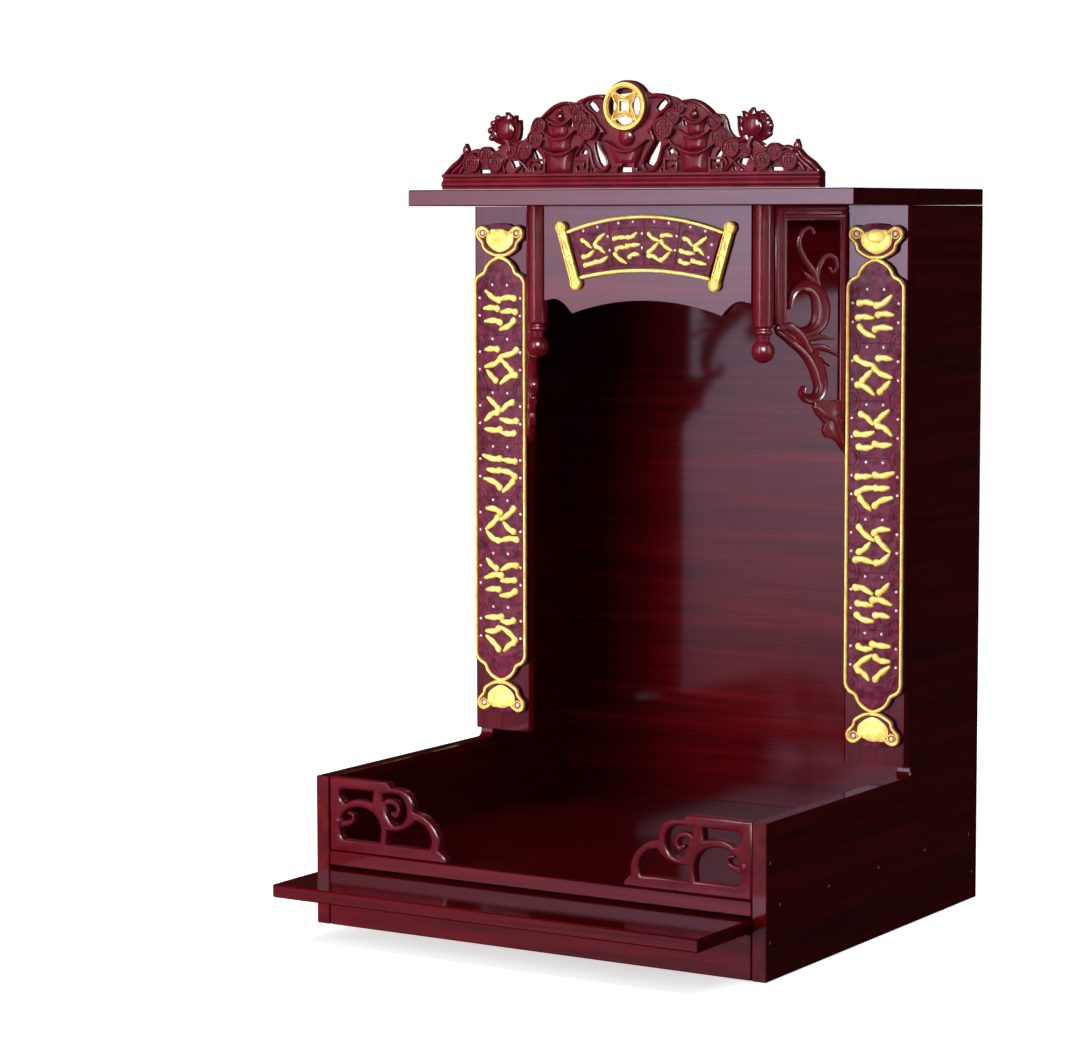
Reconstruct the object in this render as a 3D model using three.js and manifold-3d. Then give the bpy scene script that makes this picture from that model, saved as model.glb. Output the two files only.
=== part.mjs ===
// Household altar cabinet: a lacquered case with an open niche above a low-walled
// tray, a board that pulls out under the tray, a carved crest on the top board,
// a three-sided porch with turned drops, and gilded plaques.
// Millimetres. +Z is up, the front faces -Y and +X is to the viewer's right.
// The origin is on the underside, at the middle of the case's footprint.

import * as THREE from 'three';
import { mergeVertices } from 'three/addons/utils/BufferGeometryUtils.js';
import Module from 'manifold-3d';

const wasm = await Module();
wasm.setup();

// Case
const caseWidth = 390;
const caseDepth = 352;
const caseHeight = 547;
const sideThickness = 12;
const backThickness = 4;
const lowWallHeight = 114;
const upperDepth = 121;
const innerCornerRadius = 6;
const boardEase = 0.8;
const glueGap = 0.3;

// Base and tray
const floorTopHeight = 57;
const floorThickness = 11;
const apronThickness = 10;
const apronHeight = 33.6;
const basePanelThickness = 4;
const runnerWidth = 12;

// Pull-out board
const slideThickness = 10;
const slideDepth = 300;
const slideOut = 75;
const slideSideGap = 1;
const slideUnderGap = 0.4;

// Top board
const topThickness = 12.5;
const topOverhang = 102;

// Porch
const pilasterWidth = 54;
const pilasterThickness = 8;
const pilasterFootGap = 8;
const pilasterBevel = 2.4;
const dropSetIn = 95;
const dropForward = 55;
const dropRadius = 8.3;
const dropBallRadius = 9.2;
const dropRingRadius = 7.2;
const dropShaftLength = 90.5;
const dropBallBelow = 18.5;
const headerThickness = 8;
const headerForwardOfDrop = 3.3;
const headerCuspX = 66.3;
const headerCuspDepth = 83;
const headerArchDepth = 72.3;
const headerLobeDepth = 71.8;
const headerLobeWidth = 8;

// Corner brackets
const bracketThickness = 7;
const bracketLeafThickness = 5;
const bracketStile = 10;
const bracketRail = 11;
const bracketRearStile = 5.5;
const bracketLength = 188;

// Fret plates in the tray's front corners
const fretLength = 106;
const fretThickness = 9;
const fretCurlInset = 1.5;
const fretSetBack = 0.4;

// Plaques
const plaqueWidth = 50.4;
const plaqueEndMargin = 13.65;
const plaqueNeck = 19;
const plaqueCrownHeight = 27;
const plaqueCrownSwell = 0.6;
const plaqueThickness = 3;
const plaqueRelief = 1.2;
const plaqueCells = 7;
const plaqueRimWidth = 3.2;
const fanCentreBelow = 176.6;
const fanInnerRadius = 126;
const fanOuterRadius = 169.5;
const fanHalfAngle = 25;
const fanThickness = 3;
const fanRelief = 1.2;
const fanCells = 4;
const rodWidth = 7.5;
const strokeWidth = 4.2;

// Crest
const crestHalfLength = 165;
const crestBaseHeight = 12;
const crestDepth = 11;
const crestSetBack = 2;
const crestWebBack = 10;
const crestWebThickness = 4.6;
const crestFront = 1.5;
const coinHeight = 61.7;
const coinRadius = 18.2;
const coinThickness = 3;
const coinRim = 2.8;
const coinSquare = 3.1;
const bossRadius = 19.6;
const bossBore = 15.2;

// Derived places
const halfWidth = caseWidth / 2;
const yFront = -caseDepth / 2;
const yBack = caseDepth / 2;
const innerHalf = halfWidth - sideThickness;
const yUpperFront = yBack - upperDepth;
const yBackInner = yBack - backThickness;
const yPilaster = yUpperFront - pilasterThickness;
const yDrop = yPilaster - dropForward;
const yTopFront = yUpperFront - topOverhang;
const dropX = halfWidth - dropSetIn;
const caseTop = caseHeight - glueGap;
const pilasterFoot = lowWallHeight + pilasterFootGap;
const dropShaftEnd = caseHeight - dropShaftLength;
const dropBallHeight = dropShaftEnd - dropBallBelow;
const plaqueEnd = plaqueEndMargin + plaqueNeck + plaqueCrownHeight + plaqueCrownSwell;
const plaqueTopShoulder = caseHeight - plaqueEnd;
const plaqueLowShoulder = pilasterFoot + plaqueEnd;
const fanCentreHeight = caseHeight - fanCentreBelow;
const pilasterInner = halfWidth - pilasterWidth;
const plaqueEdge = halfWidth - (pilasterWidth + plaqueWidth) / 2;
const headerFront = yDrop - headerForwardOfDrop;
const yCrest = yTopFront + crestSetBack;
const topSurface = caseHeight + topThickness;

// Colours
const lacquer = { color: 0x4a1420, roughness: 0.18, metalness: 0 };
const carved = { color: 0x6a1222, roughness: 0.3, metalness: 0 };
const gold = { color: 0xe0b24a, roughness: 0.3, metalness: 0.8 };
const plywood = { color: 0x5a3a2a, roughness: 0.7, metalness: 0 };

const cabinet = new THREE.Group();

// Helpers

function add(name, geometry, look) {
  const mesh = new THREE.Mesh(geometry, new THREE.MeshStandardMaterial(look));
  mesh.name = name;
  cabinet.add(mesh);
  return mesh;
}

function merged(geometry) {
  const bare = geometry.clone();
  bare.deleteAttribute('normal');
  bare.deleteAttribute('uv');
  return mergeVertices(bare, 1e-4);
}

function solid(geometry) {
  const clean = merged(geometry);
  const mesh = new wasm.Mesh({
    numProp: 3,
    vertProperties: new Float32Array(clean.attributes.position.array),
    triVerts: new Uint32Array(clean.index.array),
  });
  return new wasm.Manifold(mesh);
}

function geometryOf(body) {
  const mesh = body.getMesh();
  const geometry = new THREE.BufferGeometry();
  const positions = new THREE.BufferAttribute(new Float32Array(mesh.vertProperties), 3);
  geometry.setAttribute('position', positions);
  geometry.setIndex(new THREE.BufferAttribute(new Uint32Array(mesh.triVerts), 1));
  return geometry;
}

function joined(geometries) {
  let body = solid(geometries[0]);
  for (const geometry of geometries.slice(1)) {
    body = body.add(solid(geometry));
  }
  return body;
}

// The mirror image in the plane x = 0, with its faces turned back outwards
function mirrored(geometry) {
  const flipped = merged(geometry);
  flipped.scale(-1, 1, 1);
  const index = flipped.index.array;
  for (let i = 0; i < index.length; i += 3) {
    const first = index[i];
    index[i] = index[i + 1];
    index[i + 1] = first;
  }
  return flipped;
}

function polygon(points) {
  return new THREE.Shape(points.map(([x, y]) => new THREE.Vector2(x, y)));
}

// A shape drawn in x and z, given a thickness along y from yNear back
function upright(shape, yNear, thickness, ease = 0, segments = 8) {
  const geometry = new THREE.ExtrudeGeometry(shape, {
    depth: thickness - 2 * ease,
    bevelEnabled: ease > 0,
    bevelSegments: 1,
    bevelSize: ease,
    bevelThickness: ease,
    bevelOffset: -ease,
    curveSegments: segments,
  });
  geometry.rotateX(Math.PI / 2);
  geometry.translate(0, yNear + thickness - ease, 0);
  return geometry;
}

function box(x0, x1, y0, y1, z0, z1) {
  const geometry = new THREE.BoxGeometry(x1 - x0, y1 - y0, z1 - z0);
  geometry.translate((x0 + x1) / 2, (y0 + y1) / 2, (z0 + z1) / 2);
  return geometry;
}

function rectangle(x0, x1, z0, z1, corner) {
  return polygon([
    [x0 + corner, z0], [x1 - corner, z0], [x1, z0 + corner], [x1, z1 - corner],
    [x1 - corner, z1], [x0 + corner, z1], [x0, z1 - corner], [x0, z0 + corner],
  ]);
}

// A board with every edge eased
function board(x0, x1, y0, y1, z0, z1, ease = boardEase) {
  return upright(rectangle(x0, x1, z0, z1, ease), y0, y1 - y0, ease);
}

// A strip along a smooth path, with a width at each of its points and pointed ends
function strip(points, widths, steps) {
  const path = new THREE.CatmullRomCurve3(points.map(([x, z]) => new THREE.Vector3(x, z, 0)));
  const left = [];
  const right = [];
  for (let i = 0; i <= steps; i++) {
    const t = i / steps;
    const at = path.getPoint(t);
    const along = path.getTangent(t);
    const place = t * (widths.length - 1);
    const low = Math.min(Math.floor(place), widths.length - 2);
    const half = THREE.MathUtils.lerp(widths[low], widths[low + 1], place - low) / 2;
    left.push([at.x - along.y * half, at.y + along.x * half]);
    right.push([at.x + along.y * half, at.y - along.x * half]);
    if (i === 0) {
      left.unshift([at.x - along.x * half, at.y - along.y * half]);
    }
    if (i === steps) {
      left.push([at.x + along.x * half, at.y + along.y * half]);
    }
  }
  return [...left, ...right.reverse()];
}

function disc(x, z, radius, sides) {
  const points = [];
  for (let i = 0; i < sides; i++) {
    const angle = (2 * Math.PI * (i + 0.5)) / sides;
    points.push([x + radius * Math.cos(angle), z + radius * Math.sin(angle)]);
  }
  return points;
}

function ball(x, y, z, rx, ry, rz) {
  const geometry = merged(new THREE.SphereGeometry(1, 7, 4));
  geometry.rotateX(Math.PI / 2);
  geometry.scale(rx, ry, rz);
  geometry.translate(x, y, z);
  return geometry;
}

// Case boards

function sideShape() {
  const depth = yBackInner - glueGap;
  const shape = new THREE.Shape();
  shape.moveTo(yFront, 0);
  shape.lineTo(depth, 0);
  shape.lineTo(depth, caseTop);
  shape.lineTo(yUpperFront, caseTop);
  shape.lineTo(yUpperFront, lowWallHeight + innerCornerRadius);
  shape.quadraticCurveTo(yUpperFront, lowWallHeight, yUpperFront - innerCornerRadius, lowWallHeight);
  shape.lineTo(yFront, lowWallHeight);
  shape.closePath();
  return shape;
}

function sideBoard() {
  const geometry = new THREE.ExtrudeGeometry(sideShape(), {
    depth: sideThickness - 2 * boardEase,
    bevelEnabled: true,
    bevelSegments: 1,
    bevelSize: boardEase,
    bevelThickness: boardEase,
    bevelOffset: -boardEase,
    curveSegments: 4,
  });
  geometry.rotateZ(Math.PI / 2);
  geometry.rotateY(Math.PI / 2);
  geometry.translate(innerHalf + boardEase, 0, 0);
  return geometry;
}

// The lower edge rises from a pointed cusp to a small lobe at each drop and to a
// flat arch between the cusps
function headerShape() {
  const end = dropX - dropRadius - glueGap;
  const cusp = caseHeight - headerCuspDepth;
  const lobe = caseHeight - headerLobeDepth;
  const archRise = headerCuspDepth - headerArchDepth;
  const archRadius = (headerCuspX ** 2 + archRise ** 2) / (2 * archRise);
  const archAngle = Math.asin(headerCuspX / archRadius);
  const lobeX = (headerCuspX + 2 * end) / 3;
  const shape = new THREE.Shape();
  shape.moveTo(-end, caseTop);
  shape.lineTo(-end, lobe - 1.5);
  shape.lineTo(-lobeX, lobe);
  shape.quadraticCurveTo(-lobeX + headerLobeWidth, lobe, -headerCuspX, cusp);
  const centre = cusp + archRise - archRadius;
  const quarter = Math.PI / 2;
  shape.absarc(0, centre, archRadius, quarter + archAngle, quarter - archAngle, true);
  shape.quadraticCurveTo(lobeX - headerLobeWidth, lobe, lobeX, lobe);
  shape.lineTo(end, lobe - 1.5);
  shape.lineTo(end, caseTop);
  shape.closePath();
  return shape;
}

function pilaster() {
  const x0 = pilasterInner;
  const x1 = halfWidth;
  const y0 = yPilaster;
  const y1 = yUpperFront - glueGap;
  const bevel = pilasterBevel;
  const section = polygon([[x0, y1], [x0, y0 + bevel], [x0 + bevel, y0],
    [x1 - bevel, y0], [x1, y0 + bevel], [x1, y1]]);
  const height = caseTop - pilasterFoot;
  const geometry = new THREE.ExtrudeGeometry(section, { depth: height, bevelEnabled: false });
  geometry.translate(0, 0, pilasterFoot);
  return geometry;
}

// A turned drop: a straight shaft, a neck ring and a ball
function dropColumn() {
  const ringTop = dropShaftEnd - 1.8;
  const ballTop = dropBallHeight + dropBallRadius * 0.86;
  const profile = [
    [0, caseTop],
    [dropRadius, caseTop],
    [dropRadius, dropShaftEnd + 0.8],
    [dropRadius - 1.2, dropShaftEnd],
    [dropRingRadius * 0.8, ringTop],
    [dropRingRadius, ringTop - 1.6],
    [dropRingRadius * 0.78, ballTop + 0.6],
  ];
  const ballSteps = 6;
  for (let i = 1; i < ballSteps; i++) {
    const angle = Math.PI * (0.16 + (0.84 * i) / ballSteps);
    const r = dropBallRadius * Math.sin(angle);
    profile.push([r, dropBallHeight + dropBallRadius * Math.cos(angle)]);
  }
  profile.push([0, dropBallHeight - dropBallRadius]);
  const outline = profile.reverse().map(([r, z]) => new THREE.Vector2(r, z));
  const geometry = new THREE.LatheGeometry(outline, 14);
  geometry.rotateX(Math.PI / 2);
  geometry.translate(dropX, yDrop, 0);
  return geometry;
}

// Corner bracket, drawn in s (from the drop's axis towards the pilaster) and in the
// depth below the top board, for a span and a length that it stretches to fit
const bracketDrawnSpan = 68.6;
const bracketDrawnLength = 188;
const bracketSpan = Math.hypot(dropX - pilasterInner, dropForward);

function bracketPoint([s, depth]) {
  const across = (s * bracketSpan) / bracketDrawnSpan;
  return [across, caseTop - (depth * bracketLength) / bracketDrawnLength];
}

function bracketFrame() {
  const start = dropRadius + glueGap;
  const inner = start + bracketStile;
  const rail = caseTop - bracketRail;
  const rear = bracketSpan + 2;
  const rearInner = bracketSpan - bracketRearStile;
  const foot = [[bracketDrawnSpan, bracketDrawnLength],
    [bracketDrawnSpan - 2.6, bracketDrawnLength - 3], [58, 176], [50.5, 173], [51, 164],
    [41.5, 151], [46.5, 147], [56, 147.5], [63.1, 146.5]].map(bracketPoint);
  const brace = [[18.6, 88], [27.6, 97], [22.6, 106]].map(bracketPoint);
  foot[0] = [rear, foot[0][1]];
  foot[8] = [rearInner, foot[8][1]];
  return polygon([[start, brace[0][1] - 4], [start, caseTop], [rear, caseTop], ...foot,
    [rearInner, rail], [inner, rail], ...brace]);
}

// Each scroll is a strip: its path, its widths and its steps
const bracketScrolls = [
  [[[14, 95], [26, 105], [35, 116], [40.5, 129], [41.5, 141], [37.5, 147], [32.5, 143]],
    [8, 9, 10, 11, 9, 6, 5], 6, true],
  [[[36, 109], [30, 98], [20, 92], [11, 94]], [7, 9, 9, 6], 2, false],
  [[[20, 77], [22, 65], [30, 57], [42, 58], [51, 66], [52.5, 79], [47, 91], [36, 96], [26, 92]],
    [5, 5, 4.6, 5.4, 7, 9, 9, 8, 6], 7, false],
  [[[46, 62], [42, 51], [34, 41], [29, 29], [32, 19], [39, 17.5]], [6, 6.4, 5.6, 5, 4, 3], 4, false],
  [[[44, 59], [45.5, 45], [52, 37.5], [59, 40], [60.4, 47], [57.5, 49]],
    [5, 4.6, 4, 4, 4, 3.6], 4, false],
  [[[44, 57], [37, 53], [31.5, 48.5]], [4, 3.6, 2], 2, false],
  [[[34, 100], [46, 99], [56, 100]], [5, 4.6, 3], 2, false],
  [[[38, 106], [50, 107], [64.6, 114.5]], [6, 5.6, 3], 2, false],
  [[[40, 113], [46, 113], [53, 119]], [5, 4.6, 2.4], 2, false],
];

// The plate stands on the slant between the drop and the pilaster. Its rear edge
// is cut back round the pilaster's corner and clear of the plaque.
function cornerBracket() {
  const pieces = [upright(bracketFrame(), -bracketThickness / 2, bracketThickness)];
  for (const [path, widths, steps, heavy] of bracketScrolls) {
    const thickness = heavy ? bracketThickness : bracketLeafThickness;
    const outline = strip(path.map(bracketPoint), widths, steps);
    pieces.push(upright(polygon(outline), -thickness / 2, thickness));
  }
  const angle = Math.atan2(dropForward, pilasterInner - dropX);
  const place = new THREE.Matrix4()
    .makeTranslation(dropX, yDrop, 0)
    .multiply(new THREE.Matrix4().makeRotationZ(angle));
  const plates = pieces.map((piece) => piece.applyMatrix4(place));
  const corner = box(pilasterInner - glueGap, halfWidth, yPilaster - glueGap, yBack, 0, topSurface);
  const beside = box(plaqueEdge - glueGap, halfWidth, yDrop, yBack, 0, topSurface);
  return geometryOf(joined(plates).subtract(solid(corner)).subtract(solid(beside)));
}

// Fret plate, drawn in s (from the side board inwards) and z above the floor, for
// a length and a height that it stretches to fit
const fretDrawnLength = 106;
const fretDrawnHeight = 56.7;
const fretHeight = lowWallHeight - floorTopHeight - glueGap;

// Each stretch of an outline is [x, z] for a straight line or [cx, cz, x, z] for a curve
function drawn(stretches, scaleX, scaleZ) {
  const path = new THREE.Path();
  stretches.forEach((at, i) => {
    const to = at.map((value, k) => value * (k % 2 ? scaleZ : scaleX));
    if (i === 0) {
      path.moveTo(...to);
    } else if (to.length === 2) {
      path.lineTo(...to);
    } else {
      path.quadraticCurveTo(...to);
    }
  });
  const points = path.getPoints(3);
  return points[0].equals(points.at(-1)) ? points.slice(1) : points;
}

const fretOutline = [
  [0, 0], [106, 0], [105.4, 3.4], [103, 6.6, 99.5, 8.6], [101.5, 17, 96.3, 24.7],
  [88, 35.6, 76.5, 36.4], [77.8, 44, 71.5, 49.6], [65.5, 54, 56, 52.6], [52.6, 56.7], [0, 56.7],
];

// The openings: the lobe, the slot under the top bar, the outer one and the inner one
const fretOpenings = [
  [[70.6, 36], [70, 49, 57, 48.4], [48.5, 47.6], [49, 30, 59, 24], [70, 25, 70.6, 36]],
  [[9, 44], [9.4, 48.4, 14, 48.4], [40, 48.4], [39, 39.6], [23, 44, 15, 37.2], [9.4, 38, 9, 44]],
  [[51.4, 8.9], [91, 8.9], [95, 17, 89, 24], [85, 29, 78, 29.6], [69, 18.6, 52, 20]],
  [[46, 9.2], [13.4, 9.4], [9, 10, 9, 17], [9, 35.4, 29, 35.4], [44, 34, 47, 20]],
];

const fretCurls = [
  [[[60, 24], [60, 33], [57, 39.4], [51.6, 38.4], [49.4, 33]], [4.2, 4, 3.6, 3, 2.4], 6],
  [[[6, 21], [14, 21.4], [20.5, 24.4], [18.6, 28.4]], [8, 5.4, 4, 3], 4],
];

function fretPlate() {
  const scaleX = fretLength / fretDrawnLength;
  const scaleZ = fretHeight / fretDrawnHeight;
  const plate = new THREE.Shape(drawn(fretOutline, scaleX, scaleZ));
  plate.holes = fretOpenings.map((hole) => new THREE.Path(drawn(hole, scaleX, scaleZ)));
  const parts = [upright(plate, 0, fretThickness)];
  for (const [path, widths, steps] of fretCurls) {
    const curl = strip(path.map(([x, z]) => [x * scaleX, z * scaleZ]), widths, steps);
    parts.push(upright(polygon(curl), fretCurlInset, fretThickness - 2 * fretCurlInset));
  }
  const geometry = mirrored(geometryOf(joined(parts)));
  geometry.translate(innerHalf - glueGap, yFront + fretSetBack, floorTopHeight + glueGap);
  return geometry;
}

// Plaques

// Brush-like strokes that fill one square cell. They are rows of short marks whose
// lean changes from cell to cell, and they spell nothing.
function cellStrokes(cell, size) {
  const strokes = [];
  for (const row of [-1, 1]) {
    for (const side of [-1, 1]) {
      const turn = 0.5 * Math.sin(2.4 * cell + 1.7 * row + side) + 0.35 * side;
      const reach = size * (0.22 + 0.05 * Math.cos(3 * cell + 2 * row + side));
      const x = side * size * 0.23;
      const z = -row * size * 0.24 + side * size * 0.06;
      const dx = reach * Math.cos(turn);
      const dz = reach * Math.sin(turn);
      strokes.push([[x - dx, z - dz], [x + dx, z + dz]]);
    }
  }
  return strokes;
}

// A stroke is a long wedge, broad at its start
function strokeShape([from, to], width) {
  const length = Math.hypot(to[0] - from[0], to[1] - from[1]);
  const nx = (-(to[1] - from[1]) / length) * width * 0.6;
  const nz = ((to[0] - from[0]) / length) * width * 0.6;
  return polygon([[from[0] - nx, from[1] - nz], to, [from[0] + nx, from[1] + nz]]);
}

// Outline of a couplet plaque: straight sides, ogee shoulders and a crown of a
// boat-shaped ingot between two curls at each end
function coupletHalf(sign) {
  const half = plaqueWidth / 2;
  const shoulder = sign > 0 ? plaqueTopShoulder : plaqueLowShoulder;
  const at = (x, rise) => [x, shoulder + sign * rise];
  const neck = plaqueNeck;
  const crown = neck + plaqueCrownHeight;
  return [
    at(half, 0), at(half - 3.6, 5), at(half - 9.2, 8.4), at(half - 11.2, 12.6), at(9.6, neck - 1.8),
    at(5.6, neck + 0.4), at(9, neck + 1), at(17, neck + 6.4), at(18.4, neck + 11.4),
    at(23.2, neck + 16.4), at(22.8, neck + 23), at(17.4, crown), at(11.6, crown - 1),
    at(7, crown), at(0, crown + plaqueCrownSwell),
  ];
}

// The boat-shaped ingot with its egg and two curls, in x and the height above the neck
function coupletOrnament() {
  const right = [
    [7.3, 2.1], [15.5, 7.5], [16.6, 12.4], [21.5, 17.3], [20.9, 22.3], [16.6, 24.7],
    [11.7, 22.3], [7, 21.8],
  ];
  const left = right.map(([x, rise]) => [-x, rise]).reverse();
  return [[0, 1.6], ...right, [0, 24.2], ...left];
}

function coupletOutline() {
  const right = [...coupletHalf(-1).reverse(), ...coupletHalf(1)];
  const left = right.map(([x, z]) => [-x, z]).reverse();
  return polygon([...right, ...left.slice(1, -1)]);
}

function coupletPlaque() {
  const middle = halfWidth - pilasterWidth / 2;
  const back = plaqueThickness;
  const relief = plaqueRelief;
  const half = plaqueWidth / 2;
  const rise = plaqueTopShoulder - plaqueLowShoulder;
  const parts = [upright(coupletOutline(), relief, back)];
  const rim = half - 0.5;
  const border = (x0, x1) => {
    const bar = rectangle(x0, x1, plaqueLowShoulder - 1, plaqueTopShoulder + 1, 0.3);
    return upright(bar, 0.2, relief + 0.6);
  };
  parts.push(border(-rim, plaqueRimWidth - rim), border(rim - plaqueRimWidth, rim));
  for (const sign of [-1, 1]) {
    const shoulder = sign > 0 ? plaqueTopShoulder : plaqueLowShoulder;
    const neck = shoulder + sign * plaqueNeck;
    const ornament = coupletOrnament().map(([x, rise]) => [x, neck + sign * rise]);
    parts.push(upright(polygon(ornament), 0.2, relief + 0.6));
  }
  const pitch = rise / plaqueCells;
  const size = half * 1.5;
  for (let cell = 0; cell < plaqueCells; cell++) {
    const centre = plaqueTopShoulder - pitch * (cell + 0.5);
    for (const stroke of cellStrokes(cell, size)) {
      const shape = strokeShape(stroke, strokeWidth);
      const mark = upright(shape, 0, relief + 0.6);
      mark.translate(0, 0, centre);
      parts.push(mark);
    }
  }
  const geometry = geometryOf(joined(parts));
  geometry.translate(middle, yPilaster - glueGap - back - relief, 0);
  return geometry;
}

// The scroll plaque is a fan-shaped sheet between two leaning rods
function fanPoint(radius, angle) {
  return [radius * Math.sin(angle), fanCentreHeight + radius * Math.cos(angle)];
}

function fanBand(inner, outer, halfAngle, steps) {
  const points = [];
  for (let i = 0; i <= steps; i++) {
    points.push(fanPoint(outer, -halfAngle + (2 * halfAngle * i) / steps));
  }
  for (let i = steps; i >= 0; i--) {
    points.push(fanPoint(inner, -halfAngle + (2 * halfAngle * i) / steps));
  }
  return polygon(points);
}

function fanRod(side) {
  const angle = side * THREE.MathUtils.degToRad(fanHalfAngle + 1.2);
  const low = fanPoint(fanInnerRadius - 4.5, angle);
  const high = fanPoint(fanOuterRadius + 7.5, angle);
  const across = [Math.cos(angle), -Math.sin(angle)];
  const half = rodWidth / 2;
  const point = (end, s, lift) => [
    end[0] + across[0] * s + Math.sin(angle) * lift,
    end[1] + across[1] * s + Math.cos(angle) * lift,
  ];
  return polygon([
    point(low, -half, 0), point(low, -half * 0.5, -1.6), point(low, half * 0.5, -1.6),
    point(low, half, 0), point(high, half, 0), point(high, half * 0.5, 1.6),
    point(high, -half * 0.5, 1.6), point(high, -half, 0),
  ]);
}

function scrollPlaque() {
  const angle = THREE.MathUtils.degToRad(fanHalfAngle);
  const relief = fanRelief;
  const sheet = fanBand(fanInnerRadius, fanOuterRadius, angle, 10);
  const parts = [upright(sheet, relief, fanThickness)];
  for (const side of [-1, 1]) {
    parts.push(upright(fanRod(side), 0.2, fanThickness + relief - 0.4, 0.8));
  }
  for (const radius of [fanInnerRadius + 0.5, fanOuterRadius - 2.5]) {
    parts.push(upright(fanBand(radius, radius + 2, angle, 10), 0.4, relief + 0.6));
  }
  const middle = (fanInnerRadius + fanOuterRadius) / 2;
  for (let cell = 0; cell < fanCells; cell++) {
    const lean = angle * ((cell + 0.5) / fanCells - 0.5) * 1.92;
    const [x, z] = fanPoint(middle, lean);
    for (const stroke of cellStrokes(cell + plaqueCells, 22)) {
      const mark = upright(strokeShape(stroke, strokeWidth), 0, relief + 0.6);
      mark.translate(x, 0, z);
      parts.push(mark);
    }
  }
  const geometry = geometryOf(joined(parts));
  geometry.translate(0, headerFront - glueGap - fanThickness - relief, 0);
  return geometry;
}

// Crest

// The carving keeps its proportions, as drawn for this half length
const crestDrawn = 165;
const crestUnit = crestHalfLength / crestDrawn;

function crestShape(points) {
  return polygon(points.map(([x, z]) => [x * crestUnit, z * crestUnit]));
}

function crestRelief(points, front, back, ease = 0) {
  return upright(crestShape(points), yCrest + front, back - front, ease);
}

function crestCut(points) {
  return upright(crestShape(points), yCrest - 5, crestDepth + 10);
}

// The moulding has a narrow foot, a half round, a hollow and a fillet
function crestMoulding() {
  const high = crestBaseHeight;
  const profile = [
    [1.2, 0], [1.2, 1.4], [0.2, 2.4], [0.2, 5.6], [1.8, 6.6],
    [1.8, 9.4], [0.8, 10], [0.8, high], [crestDepth, high], [crestDepth, 0],
  ];
  const length = 2 * crestHalfLength;
  const geometry = new THREE.ExtrudeGeometry(polygon(profile), { depth: length, bevelEnabled: false });
  geometry.rotateX(Math.PI / 2);
  geometry.rotateZ(Math.PI / 2);
  geometry.translate(-crestHalfLength, yCrest, 0);
  return geometry;
}

function crestWebOutline() {
  const right = [
    [161, 11], [152, 20], [143, 25.6], [130, 31.6], [118, 28.6], [110, 35], [99, 36],
    [92, 38], [87.6, 43], [86, 52.6], [78, 54.4], [70, 57], [65, 62], [56, 64.6],
    [47, 64.6], [42, 67.6], [31, 70], [20, 70.6], [12, 73],
  ];
  const left = right.map(([x, z]) => [-x, z]).reverse();
  return [...right, ...left];
}

// Openings through the carving, drawn for the right half
function crestOpenings() {
  return [
    strip([[26.4, 58.6], [30, 62], [33.6, 65.4]], [3.4, 4.8, 4.2], 2),
    strip([[19.4, 17.4], [22, 22], [25, 28], [27.8, 34.6]], [6, 7, 5, 3], 3),
    strip([[75.6, 15], [78, 23], [82.4, 30]], [2.6, 4.6, 2.4], 3),
    strip([[99, 17], [101, 23], [106, 31]], [6, 5.6, 3], 3),
    [[34.6, 26], [41, 25.6], [42, 30], [37, 32]],
    [[121, 12.4], [134, 12.4], [131, 15.4], [125, 15.4]],
    [[89, 13], [95, 13], [92, 16.4]],
    [[28.6, 12.6], [32.4, 12.6], [30, 15.6]],
  ];
}

// A boat-shaped ingot: a dipped rim between two horns over a narrower hull
function ingot(middle, horn, hornHeight, dip, hull, hullHeight) {
  const points = [];
  const steps = 2;
  for (let i = 0; i <= 2 * steps; i++) {
    const t = i / steps - 1;
    points.push([middle + horn * t, dip + (hornHeight - dip) * t * t]);
  }
  const shoulderHeight = hornHeight - (hornHeight - hullHeight) * 0.55;
  points.push([middle + horn * 0.82, shoulderHeight]);
  points.push([middle + hull, hullHeight]);
  points.push([middle - hull, hullHeight]);
  points.push([middle - horn * 0.82, shoulderHeight]);
  return points.reverse();
}

// A square hook that turns in on itself
function meander(x) {
  return [
    [x - 6.2, 11], [x + 6.2, 11], [x + 6.2, 19.4], [x - 2.6, 19.4], [x - 2.6, 15.4],
    [x + 1.8, 15.4], [x + 1.8, 17], [x + 3.8, 17], [x + 3.8, 13.4], [x - 4.6, 13.4],
    [x - 4.6, 21], [x + 6.2, 21], [x + 6.2, 23], [x - 6.2, 23],
  ];
}

function crestBall(x, z, radius, depth, tall = 1) {
  const r = radius * crestUnit;
  const place = [x * crestUnit, yCrest + depth, z * crestUnit];
  return ball(...place, r, Math.min(r, depth - 0.4, crestDepth - depth), r * tall);
}

// Stems and petals of the right half: each has its path, its widths and its steps
const crestTendrils = [
  [[[98, 35], [95.6, 44], [94.4, 50], [90.6, 53.4]], [5, 5, 4, 2], 3],
  [[[108, 50], [103, 55], [99.4, 56.6]], [8, 6, 2.4], 2],
  [[[120, 36], [120.4, 44], [117.4, 51], [111, 55.4]], [6, 6, 5, 4], 3],
  [[[52, 64], [61, 63.4], [68.6, 59], [74, 54]], [3, 3.4, 3.4, 3], 3],
  [[[21, 67.6], [29, 68.8], [37.6, 66.8], [35.6, 60.8], [28, 54], [24, 46.6], [19, 42.4]],
    [3, 3.2, 3, 3, 3, 3, 3.4], 7],
  [[[21.6, 42], [24, 35], [19.4, 27.4], [15.6, 19], [20, 13.6], [26.6, 15.6], [31, 25], [37, 33]],
    [2.8, 2.8, 2.8, 2.8, 2.8, 2.8, 2.8, 2.8], 8],
  [[[88, 13], [93, 19], [99, 24]], [3, 2.6, 3], 2],
  [[[150, 12], [146, 19], [141.6, 25]], [5, 4, 3], 2],
];

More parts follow.
